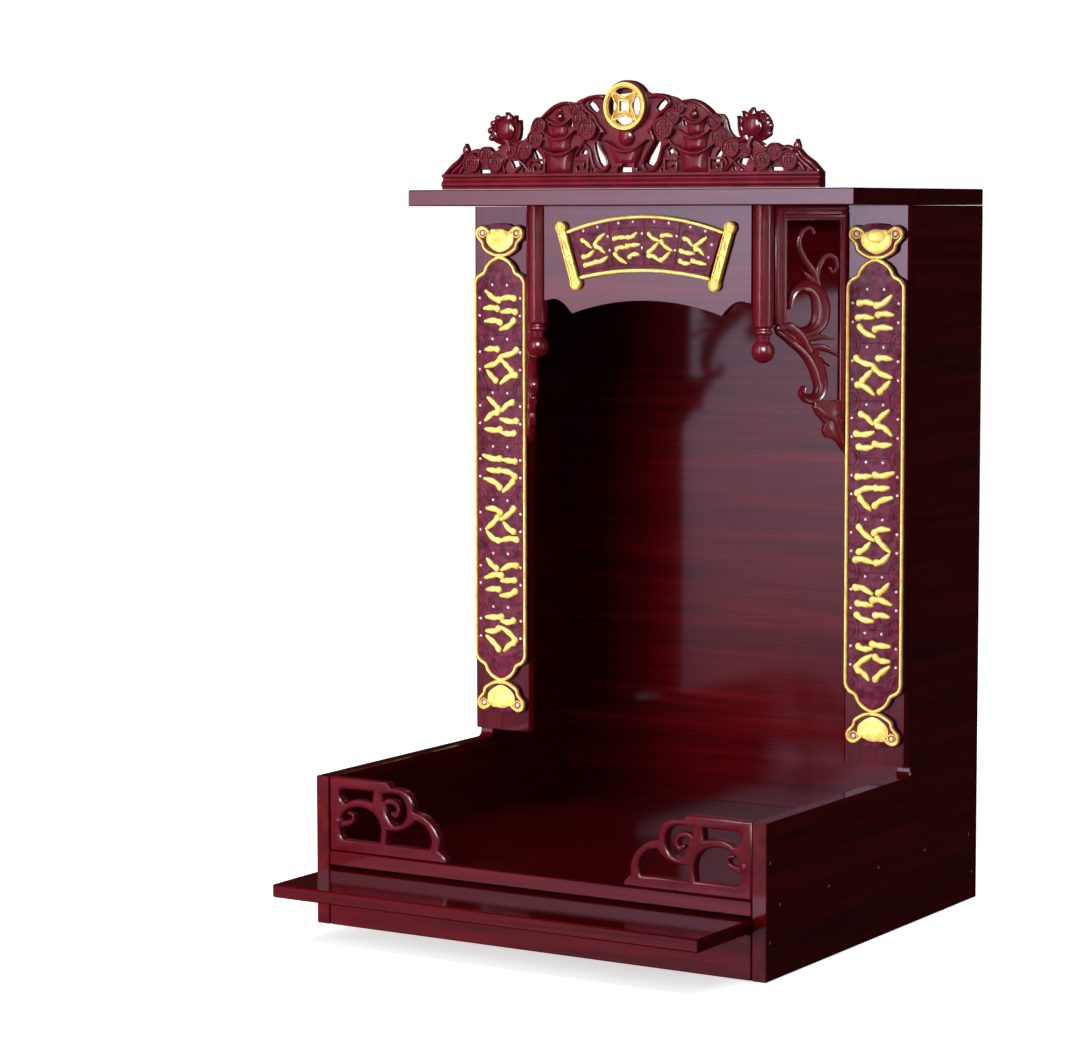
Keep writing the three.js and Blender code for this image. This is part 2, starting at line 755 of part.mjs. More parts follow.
function crestHalfParts() {
  const coins = [
    [138.7, 20.2, 7.5], [125.9, 26.2, 6.8], [117, 20.3, 7.2], [90.4, 29.9, 7.7],
    [80.8, 38, 7.2], [76.8, 48.6, 6.1], [101, 27.4, 5.9], [33.5, 45.1, 8.2],
    [40.2, 53, 6.8], [45.6, 60, 5.4],
  ];
  const parts = [];
  for (const [x, z, r] of coins) {
    parts.push(crestRelief(disc(x, z, r, 8), crestFront + 1.4, crestWebBack - 1));
  }
  const stack = 59.4;
  parts.push(crestRelief(ingot(stack, 16.2, 33, 26.6, 10.6, 11), crestFront, crestWebBack));
  parts.push(crestRelief(ingot(stack, 13.8, 44.8, 38.2, 9, 27.4), crestFront + 1, crestWebBack));
  parts.push(crestRelief(ingot(stack, 10.6, 54, 49, 7, 39), crestFront + 1.6, crestWebBack));
  parts.push(crestBall(stack, 54.4, 3.7, 5));
  parts.push(crestBall(stack, 59.3, 1.7, 5.4));
  parts.push(crestBall(107.5, 45, 10.8, 5.6));
  for (const [path, widths, steps] of crestTendrils) {
    parts.push(crestRelief(strip(path, widths, steps), crestFront + 1.4, crestWebBack - 1));
  }
  for (const x of [38.8, 77.4]) {
    parts.push(crestRelief(meander(x), crestFront + 1.6, crestWebBack - 1));
  }
  parts.push(crestBall(144.4, 29.6, 3.2, 6, 2));
  return parts;
}

function crest() {
  const web = crestRelief(crestWebOutline(), crestWebBack - crestWebThickness, crestWebBack);
  let body = solid(web);
  for (const opening of crestOpenings()) {
    const cut = crestCut(opening);
    body = body.subtract(solid(cut)).subtract(solid(mirrored(cut)));
  }
  for (const part of crestHalfParts()) {
    body = body.add(solid(part)).add(solid(mirrored(part)));
  }
  body = body.add(solid(crestRelief(ingot(0, 18, 37, 29, 9, 11), crestFront - 0.4, crestWebBack)));
  body = body.subtract(solid(crestCut([[-5.4, 12], [5.4, 12], [5.4, 16.6], [-5.4, 16.6]])));
  const bossFront = coinThickness + glueGap;
  const sides = 18;
  const boss = polygon(disc(0, coinHeight, bossRadius, sides));
  const bore = polygon(disc(0, coinHeight, bossBore, sides));
  const seat = polygon(disc(0, coinHeight, coinRadius + 2 * glueGap, sides));
  body = body.add(solid(upright(boss, yCrest + bossFront, crestDepth - bossFront)));
  body = body.subtract(solid(upright(bore, yCrest - 5, crestDepth + 10)));
  body = body.add(solid(crestBall(0, 38.6, 7.2, 5.6)));
  body = body.subtract(solid(upright(seat, yCrest - 5, bossFront + 5)));
  body = body.add(solid(crestMoulding()));
  const geometry = geometryOf(body);
  geometry.translate(0, 0, topSurface + glueGap);
  return geometry;
}

// A pierced coin: a ring, a square frame with hollow sides whose corners reach the
// ring, and a square opening
function coinShape() {
  const shape = polygon(disc(0, 0, coinRadius, 24));
  const inner = coinRadius - coinRim;
  const spread = 0.66;
  const steps = 4;
  for (let quarter = 0; quarter < 4; quarter++) {
    const turn = (quarter * Math.PI) / 2;
    const spot = (r, a) => [r * Math.cos(a + turn), r * Math.sin(a + turn)];
    const hole = [];
    for (let i = 0; i <= steps; i++) {
      hole.push(spot(inner, -spread + (2 * spread * i) / steps));
    }
    hole.push(spot(inner * 0.77, spread * 0.86), spot(coinSquare * 2.3, spread * 0.62));
    hole.push(spot(coinSquare * 2.07, 0));
    hole.push(spot(coinSquare * 2.3, -spread * 0.62), spot(inner * 0.77, -spread * 0.86));
    shape.holes.push(polygon(hole));
  }
  const half = coinSquare;
  shape.holes.push(polygon([[-half, -half], [half, -half], [half, half], [-half, half]]));
  return shape;
}

// Assembly

const sideGeometry = sideBoard();
add('side_board_right', sideGeometry, lacquer);
add('side_board_left', mirrored(sideGeometry), lacquer);
add('back_panel', board(-halfWidth, halfWidth, yBackInner, yBack, 0, caseTop, 0.5), lacquer);
const boardHalf = innerHalf - glueGap;
const yRearFace = yBackInner - glueGap;
add('floor_board', board(-boardHalf, boardHalf, yFront, yRearFace, floorTopHeight - floorThickness,
  floorTopHeight), lacquer);
add('front_apron', board(-boardHalf, boardHalf, yFront, yFront + apronThickness, 0, apronHeight),
  lacquer);
add('rear_rail', box(-boardHalf, boardHalf, yRearFace - apronThickness, yRearFace, 0,
  floorTopHeight - floorThickness - glueGap), plywood);
const yApronBack = yFront + apronThickness + glueGap;
const yRailFront = yRearFace - apronThickness - glueGap;
add('base_panel', box(-boardHalf, boardHalf, yApronBack, yRailFront, 0, basePanelThickness),
  plywood);
const runner = box(boardHalf - runnerWidth, boardHalf, yApronBack, yRailFront,
  basePanelThickness + glueGap, apronHeight);
add('slide_runner_right', runner, plywood);
add('slide_runner_left', mirrored(runner), plywood);
const slideHalf = innerHalf - slideSideGap;
const slideLow = apronHeight + slideUnderGap;
add('pull_out_board', board(-slideHalf, slideHalf, yFront - slideOut,
  yFront - slideOut + slideDepth, slideLow, slideLow + slideThickness, 1.2), lacquer);
add('top_board', board(-halfWidth, halfWidth, yTopFront, yBack, caseHeight, topSurface), lacquer);
add('header_board', upright(headerShape(), headerFront, headerThickness, 0, 5), lacquer);
const pilasterGeometry = pilaster();
add('pilaster_right', pilasterGeometry, lacquer);
add('pilaster_left', mirrored(pilasterGeometry), lacquer);
const dropGeometry = dropColumn();
add('drop_column_right', dropGeometry, carved);
add('drop_column_left', mirrored(dropGeometry), carved);
const bracketGeometry = cornerBracket();
add('corner_bracket_right', bracketGeometry, carved);
add('corner_bracket_left', mirrored(bracketGeometry), carved);
const fretGeometry = fretPlate();
add('fret_plate_right', fretGeometry, carved);
add('fret_plate_left', mirrored(fretGeometry), carved);
const coupletGeometry = coupletPlaque();
add('couplet_plaque_right', coupletGeometry, gold);
add('couplet_plaque_left', mirrored(coupletGeometry), gold);
add('scroll_plaque', scrollPlaque(), gold);
add('crest', crest(), carved);
const coin = upright(coinShape(), yCrest, coinThickness);
coin.translate(0, 0, topSurface + glueGap + coinHeight);
add('crest_coin', coin, gold);

export default cabinet;
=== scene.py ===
# A household altar cabinet in glossy red-brown lacquer, with carved and gilded fittings.
# Objects are in metres. The carvings are drawn in millimetres, x to the viewer's right,
# y away from the front and z up, and the mesh builder turns them into metres.

import math

import bmesh
import bpy
from mathutils import Matrix, Vector


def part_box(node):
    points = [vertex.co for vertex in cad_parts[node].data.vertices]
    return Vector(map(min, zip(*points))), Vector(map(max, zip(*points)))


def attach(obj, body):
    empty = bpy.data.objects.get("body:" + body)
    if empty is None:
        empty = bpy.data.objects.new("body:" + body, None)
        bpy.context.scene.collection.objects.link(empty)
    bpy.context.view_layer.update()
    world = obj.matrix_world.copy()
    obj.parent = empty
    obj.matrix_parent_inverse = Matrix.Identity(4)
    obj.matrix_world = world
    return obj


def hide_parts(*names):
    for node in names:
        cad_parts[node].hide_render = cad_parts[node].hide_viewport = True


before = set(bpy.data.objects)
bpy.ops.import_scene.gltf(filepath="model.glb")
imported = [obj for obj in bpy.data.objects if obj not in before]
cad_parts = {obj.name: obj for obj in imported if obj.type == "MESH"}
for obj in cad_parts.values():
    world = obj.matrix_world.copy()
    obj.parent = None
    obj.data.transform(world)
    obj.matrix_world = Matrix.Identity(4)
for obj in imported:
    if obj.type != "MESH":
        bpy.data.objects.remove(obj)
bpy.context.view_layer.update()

MM = 0.001
BODY = "cabinet"
IMAGE_WIDTH = 1083


# Small helpers

def span(node):
    """The low and high corners of a frame node, in millimetres."""
    low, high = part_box(node)
    return low / MM, high / MM


def add_object(name, data):
    thing = bpy.data.objects.new(name, data)
    bpy.context.scene.collection.objects.link(thing)
    return thing


# Mesh building

class Carving:
    """Closed shells that become one mesh, each face with a material's number."""

    def __init__(self):
        self.points = []
        self.faces = []
        self.looks = []

    def add(self, points, faces, look=0):
        base = len(self.points)
        self.points += [Vector(point) for point in points]
        self.faces += [[base + i for i in face] for face in faces]
        self.looks += [look] * len(faces)

    def move(self, matrix):
        self.points = [matrix @ point for point in self.points]

    def mesh(self, name, mirror=False, sharp=38):
        side = -1 if mirror else 1
        mesh = bpy.data.meshes.new(name)
        points = [(side * p.x * MM, p.y * MM, p.z * MM) for p in self.points]
        mesh.from_pydata(points, [], self.faces)
        mesh.polygons.foreach_set("material_index", self.looks)
        work = bmesh.new()
        work.from_mesh(mesh)
        bmesh.ops.recalc_face_normals(work, faces=work.faces)
        work.to_mesh(mesh)
        work.free()
        mesh.polygons.foreach_set("use_smooth", [True] * len(mesh.polygons))
        mesh.set_sharp_from_angle(angle=math.radians(sharp))
        return mesh


def curve_through(points, steps, closed=False):
    """A smooth line through 2-D points, with steps between neighbours."""
    knots = [Vector(point) for point in points]
    if closed:
        knots = [knots[-1]] + knots + knots[:2]
    else:
        knots = [2 * knots[0] - knots[1]] + knots + [2 * knots[-1] - knots[-2]]
    line = []
    for a, b, c, d in zip(knots, knots[1:], knots[2:], knots[3:]):
        for i in range(steps):
            t = i / steps
            square = 2 * a - 5 * b + 4 * c - d
            cube = 3 * b - a - 3 * c + d
            line.append(0.5 * (2 * b + (c - a) * t + square * t * t + cube * t ** 3))
    if not closed:
        line.append(knots[-2].copy())
    return line


def symmetric(half):
    """Half an outline that runs from outside to middle, followed by its mirror image."""
    return [*half, *[(-x, z) for x, z in reversed(half[:-1])]]


def circle(x, z, radius, sides):
    turns = [2 * math.pi * k / sides for k in range(sides)]
    return [(x + radius * math.cos(turn), z + radius * math.sin(turn)) for turn in turns]


def square(x, z, half):
    return [(x + half * dx, z + half * dz) for dx, dz in ((-1, -1), (1, -1), (1, 1), (-1, 1))]


def between(values, t):
    place = t * (len(values) - 1)
    low = min(int(place), len(values) - 2)
    return values[low] + (values[low + 1] - values[low]) * (place - low)


def loft(carving, rings, closed=False, look=0):
    """A skin over rings of as many points each, capped unless it closes on itself."""
    size = len(rings[0])
    count = len(rings)
    points = [point for ring in rings for point in ring]
    faces = []
    for i in range(count if closed else count - 1):
        here = i * size
        after = ((i + 1) % count) * size
        for k in range(size):
            n = (k + 1) % size
            faces.append([here + k, here + n, after + n, after + k])
    if not closed:
        faces.append(list(range(size)))
        faces.append([(count - 1) * size + k for k in range(size)])
    carving.add(points, faces, look)


def both_sides(front):
    """A section with the same shape at its back as at its front."""
    return [*front, *[(u, 1 - v) for u, v in reversed(front[1:-1])]]


# Sections across a ridge: u from -1 to 1 across it, v from 0 at the back to 1 at the front
ROUND = symmetric([(-1, 0), (-1, 0.45), (-0.86, 0.76), (-0.5, 0.95), (0, 1)])
KEELED = symmetric([(-1, 0), (-1, 0.4), (-0.9, 0.62), (-0.45, 0.7), (-0.12, 0.92), (0, 1)])
BEAD = symmetric([(-1, 0), (-0.95, 0.42), (-0.72, 0.78), (-0.38, 0.96), (0, 1)])
BOTH_ROUND = both_sides(symmetric([(-1, 0.5), (-0.92, 0.78), (-0.6, 0.95), (0, 1)]))
BOTH_GROOVED = both_sides(symmetric([(-1, 0.5), (-0.94, 0.76), (-0.66, 0.97), (-0.34, 0.86),
                                     (-0.14, 0.84), (0, 0.97)]))
CAP_TURNS = [math.radians(degrees) for degrees in (80, 55, 30)]


def cap(at, along, half, sign):
    """Stations that round off one end of a ridge."""
    return [(at + along * (sign * half * math.sin(turn)), along, half * math.cos(turn),
             math.cos(turn) ** 0.5) for turn in CAP_TURNS]


def ridge(carving, path, widths, front, back, section=ROUND, steps=5, closed=False, look=0,
          middle=0):
    """A raised strip along a path in x and z, smoothed where it has steps, with round ends."""
    line = curve_through(path, steps, closed) if steps else [Vector(point) for point in path]
    count = len(line)
    stations = []
    for i, at in enumerate(line):
        along = Vector((0, 0))
        if closed or i > 0:
            along += (at - line[i - 1]).normalized()
        if closed or i < count - 1:
            along += (line[(i + 1) % count] - at).normalized()
        along.normalize()
        stations.append((at, along, between(widths, i / (count - 1)) / 2, 1))
    if not closed:
        stations = [*cap(*stations[0][:3], -1), *stations, *reversed(cap(*stations[-1][:3], 1))]
    rings = [[(at.x - along.y * u * half, back + (front - back) * (middle + (v - middle) * lift),
               at.y + along.x * u * half) for u, v in section]
             for at, along, half, lift in stations]
    loft(carving, rings, closed, look)


def turned(carving, profile, centre, sides=32, look=0, upright=False):
    """A turned form from (radius, place) pairs, about the y axis, or about z if upright."""
    rings = []
    for radius, place in profile:
        around = circle(0, 0, radius, sides)
        offsets = [(a, b, place) if upright else (a, place, b) for a, b in around]
        rings.append([[c + o for c, o in zip(centre, offset)] for offset in offsets])
    loft(carving, rings, False, look)


def ball(carving, centre, radii, look=0, sides=20, rings=11):
    turns = [math.pi * (i + 0.5) / (rings + 1) for i in range(rings + 1)]
    profile = [(math.sin(turn), -math.cos(turn)) for turn in turns]
    part = Carving()
    turned(part, profile, (0, 0, 0), sides, look)
    points = [[c + p * r for c, p, r in zip(centre, point, radii)] for point in part.points]
    carving.add(points, part.faces, look)


def plate(carving, outline, holes, front, back, ease, look=0, rounds=2):
    """A flat plate with rounded rims, from an outline and holes in x and z."""
    data = bpy.data.curves.new("outline", "CURVE")
    data.dimensions = "2D"
    data.fill_mode = "BOTH"
    data.extrude = (back - front) / 2 - ease
    data.bevel_depth = ease
    data.bevel_resolution = rounds
    data.offset = -ease
    for loop in [outline, *holes]:
        spline = data.splines.new("POLY")
        spline.points.add(len(loop) - 1)
        for point, (x, z) in zip(spline.points, loop):
            point.co = (x, z, 0, 1)
        spline.use_cyclic_u = True
    shape = add_object("outline", data)
    depsgraph = bpy.context.evaluated_depsgraph_get()
    mesh = bpy.data.meshes.new_from_object(shape.evaluated_get(depsgraph))
    work = bmesh.new()
    work.from_mesh(mesh)
    bmesh.ops.remove_doubles(work, verts=work.verts, dist=0.002)
    work.verts.ensure_lookup_table()
    middle = (front + back) / 2
    points = [(v.co.x, middle - v.co.z, v.co.y) for v in work.verts]
    faces = [[v.index for v in face.verts] for face in work.faces]
    work.free()
    bpy.data.objects.remove(shape)
    bpy.data.curves.remove(data)
    bpy.data.meshes.remove(mesh)
    carving.add(points, faces, look)


def place(carving, name, node, slot, materials, mirror=False):
    """Puts a carving in the scene in the place of a frame node."""
    mesh = carving.mesh(name, mirror)
    for material in materials:
        mesh.materials.append(material)
    piece = add_object(name, mesh)
    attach(piece, BODY)
    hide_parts(node)


def place_pairs(rows):
    """Places carvings drawn for the right side there, and their mirror images on the left."""
    for side in ("right", "left"):
        for carving, name, node, slot, materials in rows:
            place(carving, f"{name}_{side}", f"{node}_{side}", slot, materials, side == "left")


# Materials

def colour(red, green, blue):
    """A linear colour from display values of 0 to 255."""
    values = []
    for value in (red, green, blue):
        share = value / 255
        values.append(share / 12.92 if share <= 0.04045 else ((share + 0.055) / 1.055) ** 2.4)
    return (*values, 1)


def add_node(tree, kind, inputs=None, **settings):
    """A new node with its settings, and its inputs linked or set."""
    node = tree.nodes.new(kind)
    for key, value in settings.items():
        setattr(node, key, value)
    for socket, value in (inputs or {}).items():
        if isinstance(value, bpy.types.NodeSocket):
            tree.links.new(value, node.inputs[socket])
        else:
            node.inputs[socket].default_value = value
    return node


class Look:
    """A material with its main shader and helpers to add nodes."""

    def __init__(self, name):
        self.material = bpy.data.materials.new(name)
        self.material.use_nodes = True
        self.tree = self.material.node_tree
        self.shader = self.tree.nodes["Principled BSDF"]

    def set(self, **values):
        for socket, value in values.items():
            self.shader.inputs[socket.replace("_", " ")].default_value = value

    def node(self, kind, inputs=None, **settings):
        return add_node(self.tree, kind, inputs, **settings)

    def link(self, output, socket):
        self.tree.links.new(output, self.shader.inputs[socket])

    def coordinates(self, scale):
        """The object's coordinates, scaled by one number or by three."""
        where = self.node("ShaderNodeTexCoord").outputs["Object"]
        scales = scale if isinstance(scale, list) else [scale] * 3
        return self.node("ShaderNodeMapping", {"Vector": where, "Scale": scales}).outputs["Vector"]

    def noise(self, scale, detail=4, roughness=0.55, distortion=0):
        inputs = {"Vector": self.coordinates(scale), "Scale": 1, "Detail": detail,
                  "Roughness": roughness, "Distortion": distortion}
        return self.node("ShaderNodeTexNoise", inputs).outputs["Fac"]

    def ramp(self, factor, stops):
        node = self.node("ShaderNodeValToRGB", {"Fac": factor})
        elements = node.color_ramp.elements
        while len(elements) < len(stops):
            elements.new(0.5)
        for element, (position, value) in zip(elements, stops):
            element.position = position
            element.color = value
        return node.outputs["Color"]

    def blend(self, factor, first, second, mode="MIX"):
        inputs = {0: factor, 6: first, 7: second}
        return self.node("ShaderNodeMix", inputs, data_type="RGBA", blend_type=mode).outputs[2]

    def spread(self, value, low, high):
        """Takes a value from between 0 and 1 to between low and high."""
        inputs = {"Value": value, "To Min": low, "To Max": high}
        return self.node("ShaderNodeMapRange", inputs).outputs["Result"]

    def bump(self, height, strength, distance, below=None):
        inputs = {"Height": height, "Strength": strength, "Distance": distance}
        if below:
            inputs["Normal"] = below
        return self.node("ShaderNodeBump", inputs).outputs["Normal"]


WHITE = (1, 1, 1, 1)
GRAIN_DARK = colour(58, 2, 7)
GRAIN_MIDDLE = colour(76, 4, 10)
GRAIN_LIGHT = colour(92, 8, 16)


def lacquer(axis, place="outside", shine=0.5):
    """Gloss lacquer over a printed wood grain that runs along the x, y or z axis."""
    look = Look(f"gloss_lacquer_{axis}_{place}")
    along = "xyz".index(axis)

    def stretched(length, width):
        return [length if i == along else width for i in range(3)]

    figure = look.noise(stretched(3.2, 90), detail=3, distortion=0.6)
    streaks = look.noise(stretched(9, 420), detail=5, roughness=0.7)
    wood = look.ramp(figure, [(0.26, GRAIN_DARK), (0.52, GRAIN_MIDDLE), (0.78, GRAIN_LIGHT)])
    lines = look.ramp(streaks, [(0.34, (0.5, 0.42, 0.42, 1)), (0.54, WHITE)])
    finish = look.blend(0.7, wood, lines, "MULTIPLY")
    look.link(look.spread(look.noise(26, detail=3), 0.07, 0.12), "Roughness")
    look.set(Specular_IOR_Level=shine)
    wave = look.bump(look.noise(7, detail=1), 0.12, 0.004)
    pores = look.bump(streaks, 0.05, 0.0004, wave)
    if place == "nailed":
        marks = nail_marks(look)
        pores = look.bump(marks, 0.5, 0.0005, pores)
        finish = look.blend(marks, finish, NAIL_FILLER)
    look.link(pores, "Normal")
    look.link(finish, "Base Color")
    return look.material


# Filled nail holes in the sides: y and z in millimetres
NAILS = [(-156, 53), (-80, 53), (1, 53), (81, 53), (161, 53), (-171, 85), (-171, 28), (167, 22)]
NAIL_RADIUS = 1.4
NAIL_FILLER = colour(176, 122, 130)


def nail_marks(look):
    """1 on the filled nail holes and 0 elsewhere."""
    where = look.node("ShaderNodeTexCoord").outputs["Object"]
    flat = look.node("ShaderNodeVectorMath", {0: where, 1: (0, 1, 1)}, operation="MULTIPLY")
    nearest = None
    for y, z in NAILS:
        gap = look.node("ShaderNodeVectorMath", {0: flat.outputs[0], 1: (0, y * MM, z * MM)},
                        operation="DISTANCE").outputs["Value"]
        if nearest:
            gap = look.node("ShaderNodeMath", {0: nearest, 1: gap}, operation="MINIMUM").outputs[0]
        nearest = gap
    edge = {"Value": nearest, "From Min": NAIL_RADIUS * MM, "From Max": 0.6 * NAIL_RADIUS * MM}
    return look.node("ShaderNodeMapRange", edge).outputs["Result"]


def carved_gloss():
    """Maroon gloss paint on carving, its tone and gloss varying at random."""
    look = Look("carved_wood")
    cloud = look.noise(60)
    shade = look.ramp(cloud, [(0.3, colour(92, 10, 26)), (0.7, colour(116, 16, 36))])
    look.link(shade, "Base Color")
    look.link(look.spread(cloud, 0.2, 0.28), "Roughness")
    look.set(Specular_IOR_Level=0.4)
    look.link(look.bump(look.noise(260, detail=3), 0.12, 0.0006), "Normal")
    return look.material


def gold_paint(name, dark, light):
    """Brushed gold paint over relief."""
    look = Look(name)
    cloud = look.noise(180, detail=5, roughness=0.65)
    look.link(look.ramp(cloud, [(0.28, dark), (0.62, light)]), "Base Color")
    look.link(look.spread(cloud, 0.36, 0.24), "Roughness")
    look.set(Metallic=0.2, Specular_IOR_Level=0.2)
    look.link(look.bump(look.noise(900, detail=3), 0.22, 0.0003), "Normal")
    return look.material


def plaque_ground():
    """Maroon plaque ground, pressed with a faint pattern of clouds."""
    look = Look("plaque_ground")
    cells = look.node("ShaderNodeTexVoronoi", {"Vector": look.coordinates(150), "Scale": 1},
                      feature="SMOOTH_F1")
    cloud = look.noise(240, detail=3)
    shade = look.ramp(cloud, [(0.34, colour(62, 8, 26)), (0.66, colour(104, 27, 54))])
    look.link(shade, "Base Color")
    look.set(Roughness=0.3, Specular_IOR_Level=0.14)
    look.link(look.bump(cells.outputs["Distance"], 0.6, 0.0012), "Normal")
    return look.material


def stud_painted_highlight():
    """Pale pink on the plaques' small studs, a painted highlight in place of the gloss on maroon studs.
    """
    look = Look("plaque_stud_painted_highlight")
    cloud = look.noise(400, detail=2)
    look.link(look.ramp(cloud, [(0.3, colour(224, 178, 196)), (0.7, colour(250, 226, 234))]),
              "Base Color")
    look.set(Roughness=0.25)
    return look.material


def plywood():
    """Bare plywood, for the hidden framing."""
    look = Look("bare_plywood")
    grain = look.noise([8, 180, 180])
    look.link(look.ramp(grain, [(0.3, colour(74, 44, 28)), (0.7, colour(124, 84, 56))]),
              "Base Color")
    look.set(Roughness=0.7)
    look.link(look.bump(grain, 0.2, 0.0004), "Normal")
    return look.material


LACQUER = {"x": lacquer("x"), "z": lacquer("z"), "inside": lacquer("x", "inside", 0.3),
           "side": lacquer("y", "nailed")}
CARVED = carved_gloss()
GOLD = gold_paint("gold_paint", colour(230, 172, 70), colour(255, 230, 128))
# A darker copy of the gold, painted shade for the sunk plate of the gilded coin
GOLD_PAINTED_SHADE = gold_paint("gold_painted_shade", colour(112, 78, 30), colour(172, 128, 52))
GROUND = plaque_ground()
STUD_PAINTED_HIGHLIGHT = stud_painted_highlight()
PLAQUE_FINISH = [GOLD, GROUND, STUD_PAINTED_HIGHLIGHT]
PLYWOOD = plywood()


# The frame's own boards

BOARD_GRAIN = {
    "side_board_right": "side", "side_board_left": "side", "back_panel": "inside",
    "floor_board": "inside", "front_apron": "x", "pull_out_board": "x", "top_board": "x",
    "header_board": "x", "pilaster_right": "z", "pilaster_left": "z",
}
HIDDEN_FRAMING = ["rear_rail", "base_panel", "slide_runner_right", "slide_runner_left"]
EDGE_ROUND = 0.00035


def finish_boards():
    looks = {node: LACQUER[axis] for node, axis in BOARD_GRAIN.items()}
    looks.update({node: PLYWOOD for node in HIDDEN_FRAMING})
    for node, material in looks.items():
        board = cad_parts[node]
        board.data.materials.clear()
        board.data.materials.append(material)
        rounding = board.modifiers.new("edges", "BEVEL")
        rounding.width = EDGE_ROUND
        rounding.segments = 2
        rounding.limit_method = "ANGLE"
        rounding.angle_limit = math.radians(30)
        rounding.harden_normals = True
        board.data.polygons.foreach_set("use_smooth", [True] * len(board.data.polygons))


# Turned drops

# In shares of the ball's radius: the shaft's radius and the height of its foot above the ball's
# middle, and the radii of the neck under the shaft and of the ring's core
SHAFT_SHARE = 0.902
SHAFT_FOOT_SHARE = 2.01
NECK_SHARE = 0.66
RING_SHARE = 0.6
SHAFT_ROUND = 1.6
RING_BELOW_SHAFT = 3.6


def drop(carving, x, y, low, high, radius):
    """A shaft, a neck ring and a ball, hung from high down to low."""
    ball_at = low + radius
    foot = ball_at + radius * SHAFT_FOOT_SHARE
    shaft = radius * SHAFT_SHARE
    profile = [(0.01, high), (shaft, high)]
    for turn in map(math.radians, (0, 20, 45, 70, 90)):
        profile.append((shaft - SHAFT_ROUND * (1 - math.cos(turn)),
                        foot + SHAFT_ROUND * (1 - math.sin(turn))))
    profile.append((radius * NECK_SHARE, foot - 0.7))
    for turn in map(math.radians, range(60, -91, -25)):
        profile.append((radius * RING_SHARE + 1.7 * math.cos(turn),
                        foot - RING_BELOW_SHAFT + 2 * math.sin(turn)))
    for turn in map(math.radians, range(33, 180, 7)):
        profile.append((radius * math.sin(turn), ball_at + radius * math.cos(turn)))
    profile.append((0.01, low))
    turned(carving, profile, (x, y, 0), 56, 0, upright=True)


def make_drops():
    low, high = span("drop_column_right")
    middle = (low + high) / 2
    carving = Carving()
    drop(carving, middle.x, middle.y, low.z, high.z, (high.x - low.x) / 2)
    place_pairs([(carving, "turned_drop", "drop_column", "carved_wood", [CARVED])])


# Plaques

# Right halves of a couplet plaque's end, in x and in the height above its shoulder
PLAQUE_END = 46.6
PLATE_END = [(25.2, -6), (25.1, 0.4), (22.7, 4.7), (16.6, 8.3), (14.3, 12.8), (10.2, 17), (6, 19.5),
             (9, 20.2), (16.9, 25.3), (18.4, 30.4), (23.1, 35.4), (22.8, 42), (17.3, 45.4),
             (12, 44.6), (7.4, 46.2), (0, 46.6)]
RIM_END = [(23.3, -6), (23, -0.6), (20.2, 3.8), (14.8, 6.9), (12.4, 11.6), (8.6, 15.6), (3.4, 18.4),
           (0, 19.2)]
ORNAMENT_RIM = [(0, 21), (6.8, 21.8), (14.6, 26.3), (16.5, 31.2), (21, 36.2), (20.8, 41),
                (16.7, 43.3), (12.4, 41.6), (9.9, 39)]
BOAT = [(0, 23.4), (4, 24.4), (8.6, 27), (12, 30.4), (12.9, 33.8), (12.8, 37), (10.4, 39.6),
        (6.6, 41.8), (0, 42.8)]
LOBE = (16.1, 38.8)
EGG = (0, 36.4, 8.9, 5.8)
CELLS = 7
GROUND_DROP = 1.5
GOLD_LOOK = 0
GROUND_LOOK = 1
# The studs' pale pink is a painted highlight
PAINTED_HIGHLIGHT_LOOK = 2


def brush_cell(carving, centre, size, number, turn, front, back):
    """Rows of brush-like marks that fill a square cell. They spell nothing."""
    spin = Matrix.Rotation(-turn, 2)
    for row in (-1, 0, 1):
        for side in (-1, 1):
            seed = 2.4 * number + 1.7 * row + side
            lean = 0.42 * math.sin(seed) + 0.34 * side * (1 if row else -1)
            reach = size * (0.215 + 0.04 * math.cos(1.9 * seed))
            x = side * size * 0.24 + size * 0.03 * math.sin(seed * 1.4)
            z = row * size * 0.34 + side * size * 0.04
            sway = size * 0.05 * math.cos(seed)
            tilt = Matrix.Rotation(lean, 2)
            path = [Vector(centre) + spin @ (Vector((x, z)) + tilt @ Vector((along * reach, across)))
                    for along, across in ((-1, 0), (-0.2, sway), (1, 0))]
            thick = size * 0.165
            widths = [thick * 1.15, thick * 0.8, thick, thick * 0.55]
            ridge(carving, path, widths, front, back, BEAD, 5, look=GOLD_LOOK)


def stud(carving, x, z, y):
    # Pale pink stud, a painted highlight
    ball(carving, (x, y, z), (1.2, 0.9, 1.2), PAINTED_HIGHLIGHT_LOOK, 10, 5)


def line_relief(carving, path, y, width=0.9, steps=5):
    ridge(carving, path, [width, width], y - 0.32, y + 0.3, BEAD, steps, look=GROUND_LOOK)


def cell_relief(carving, x, z, half_width, half_height, y):
    """Faint scrolls pressed in the ground of one cell, and its lower edge."""
    line_relief(carving, [(x - half_width, z - half_height), (x + half_width, z - half_height)], y,
                steps=1)
    scrolls = [(side, up, radius) for side in (-1, 1) for up in (-1, 1) for radius in (5.2, 8.4)]
    for side, up, radius in scrolls:
        path = [(x + side * (half_width - radius * math.cos(turn)),
                 z + up * (half_height - 0.8 - radius * math.sin(turn)))
                for turn in [math.pi * i / 8 for i in range(5)]]
        line_relief(carving, path, y, 0.8, 3)


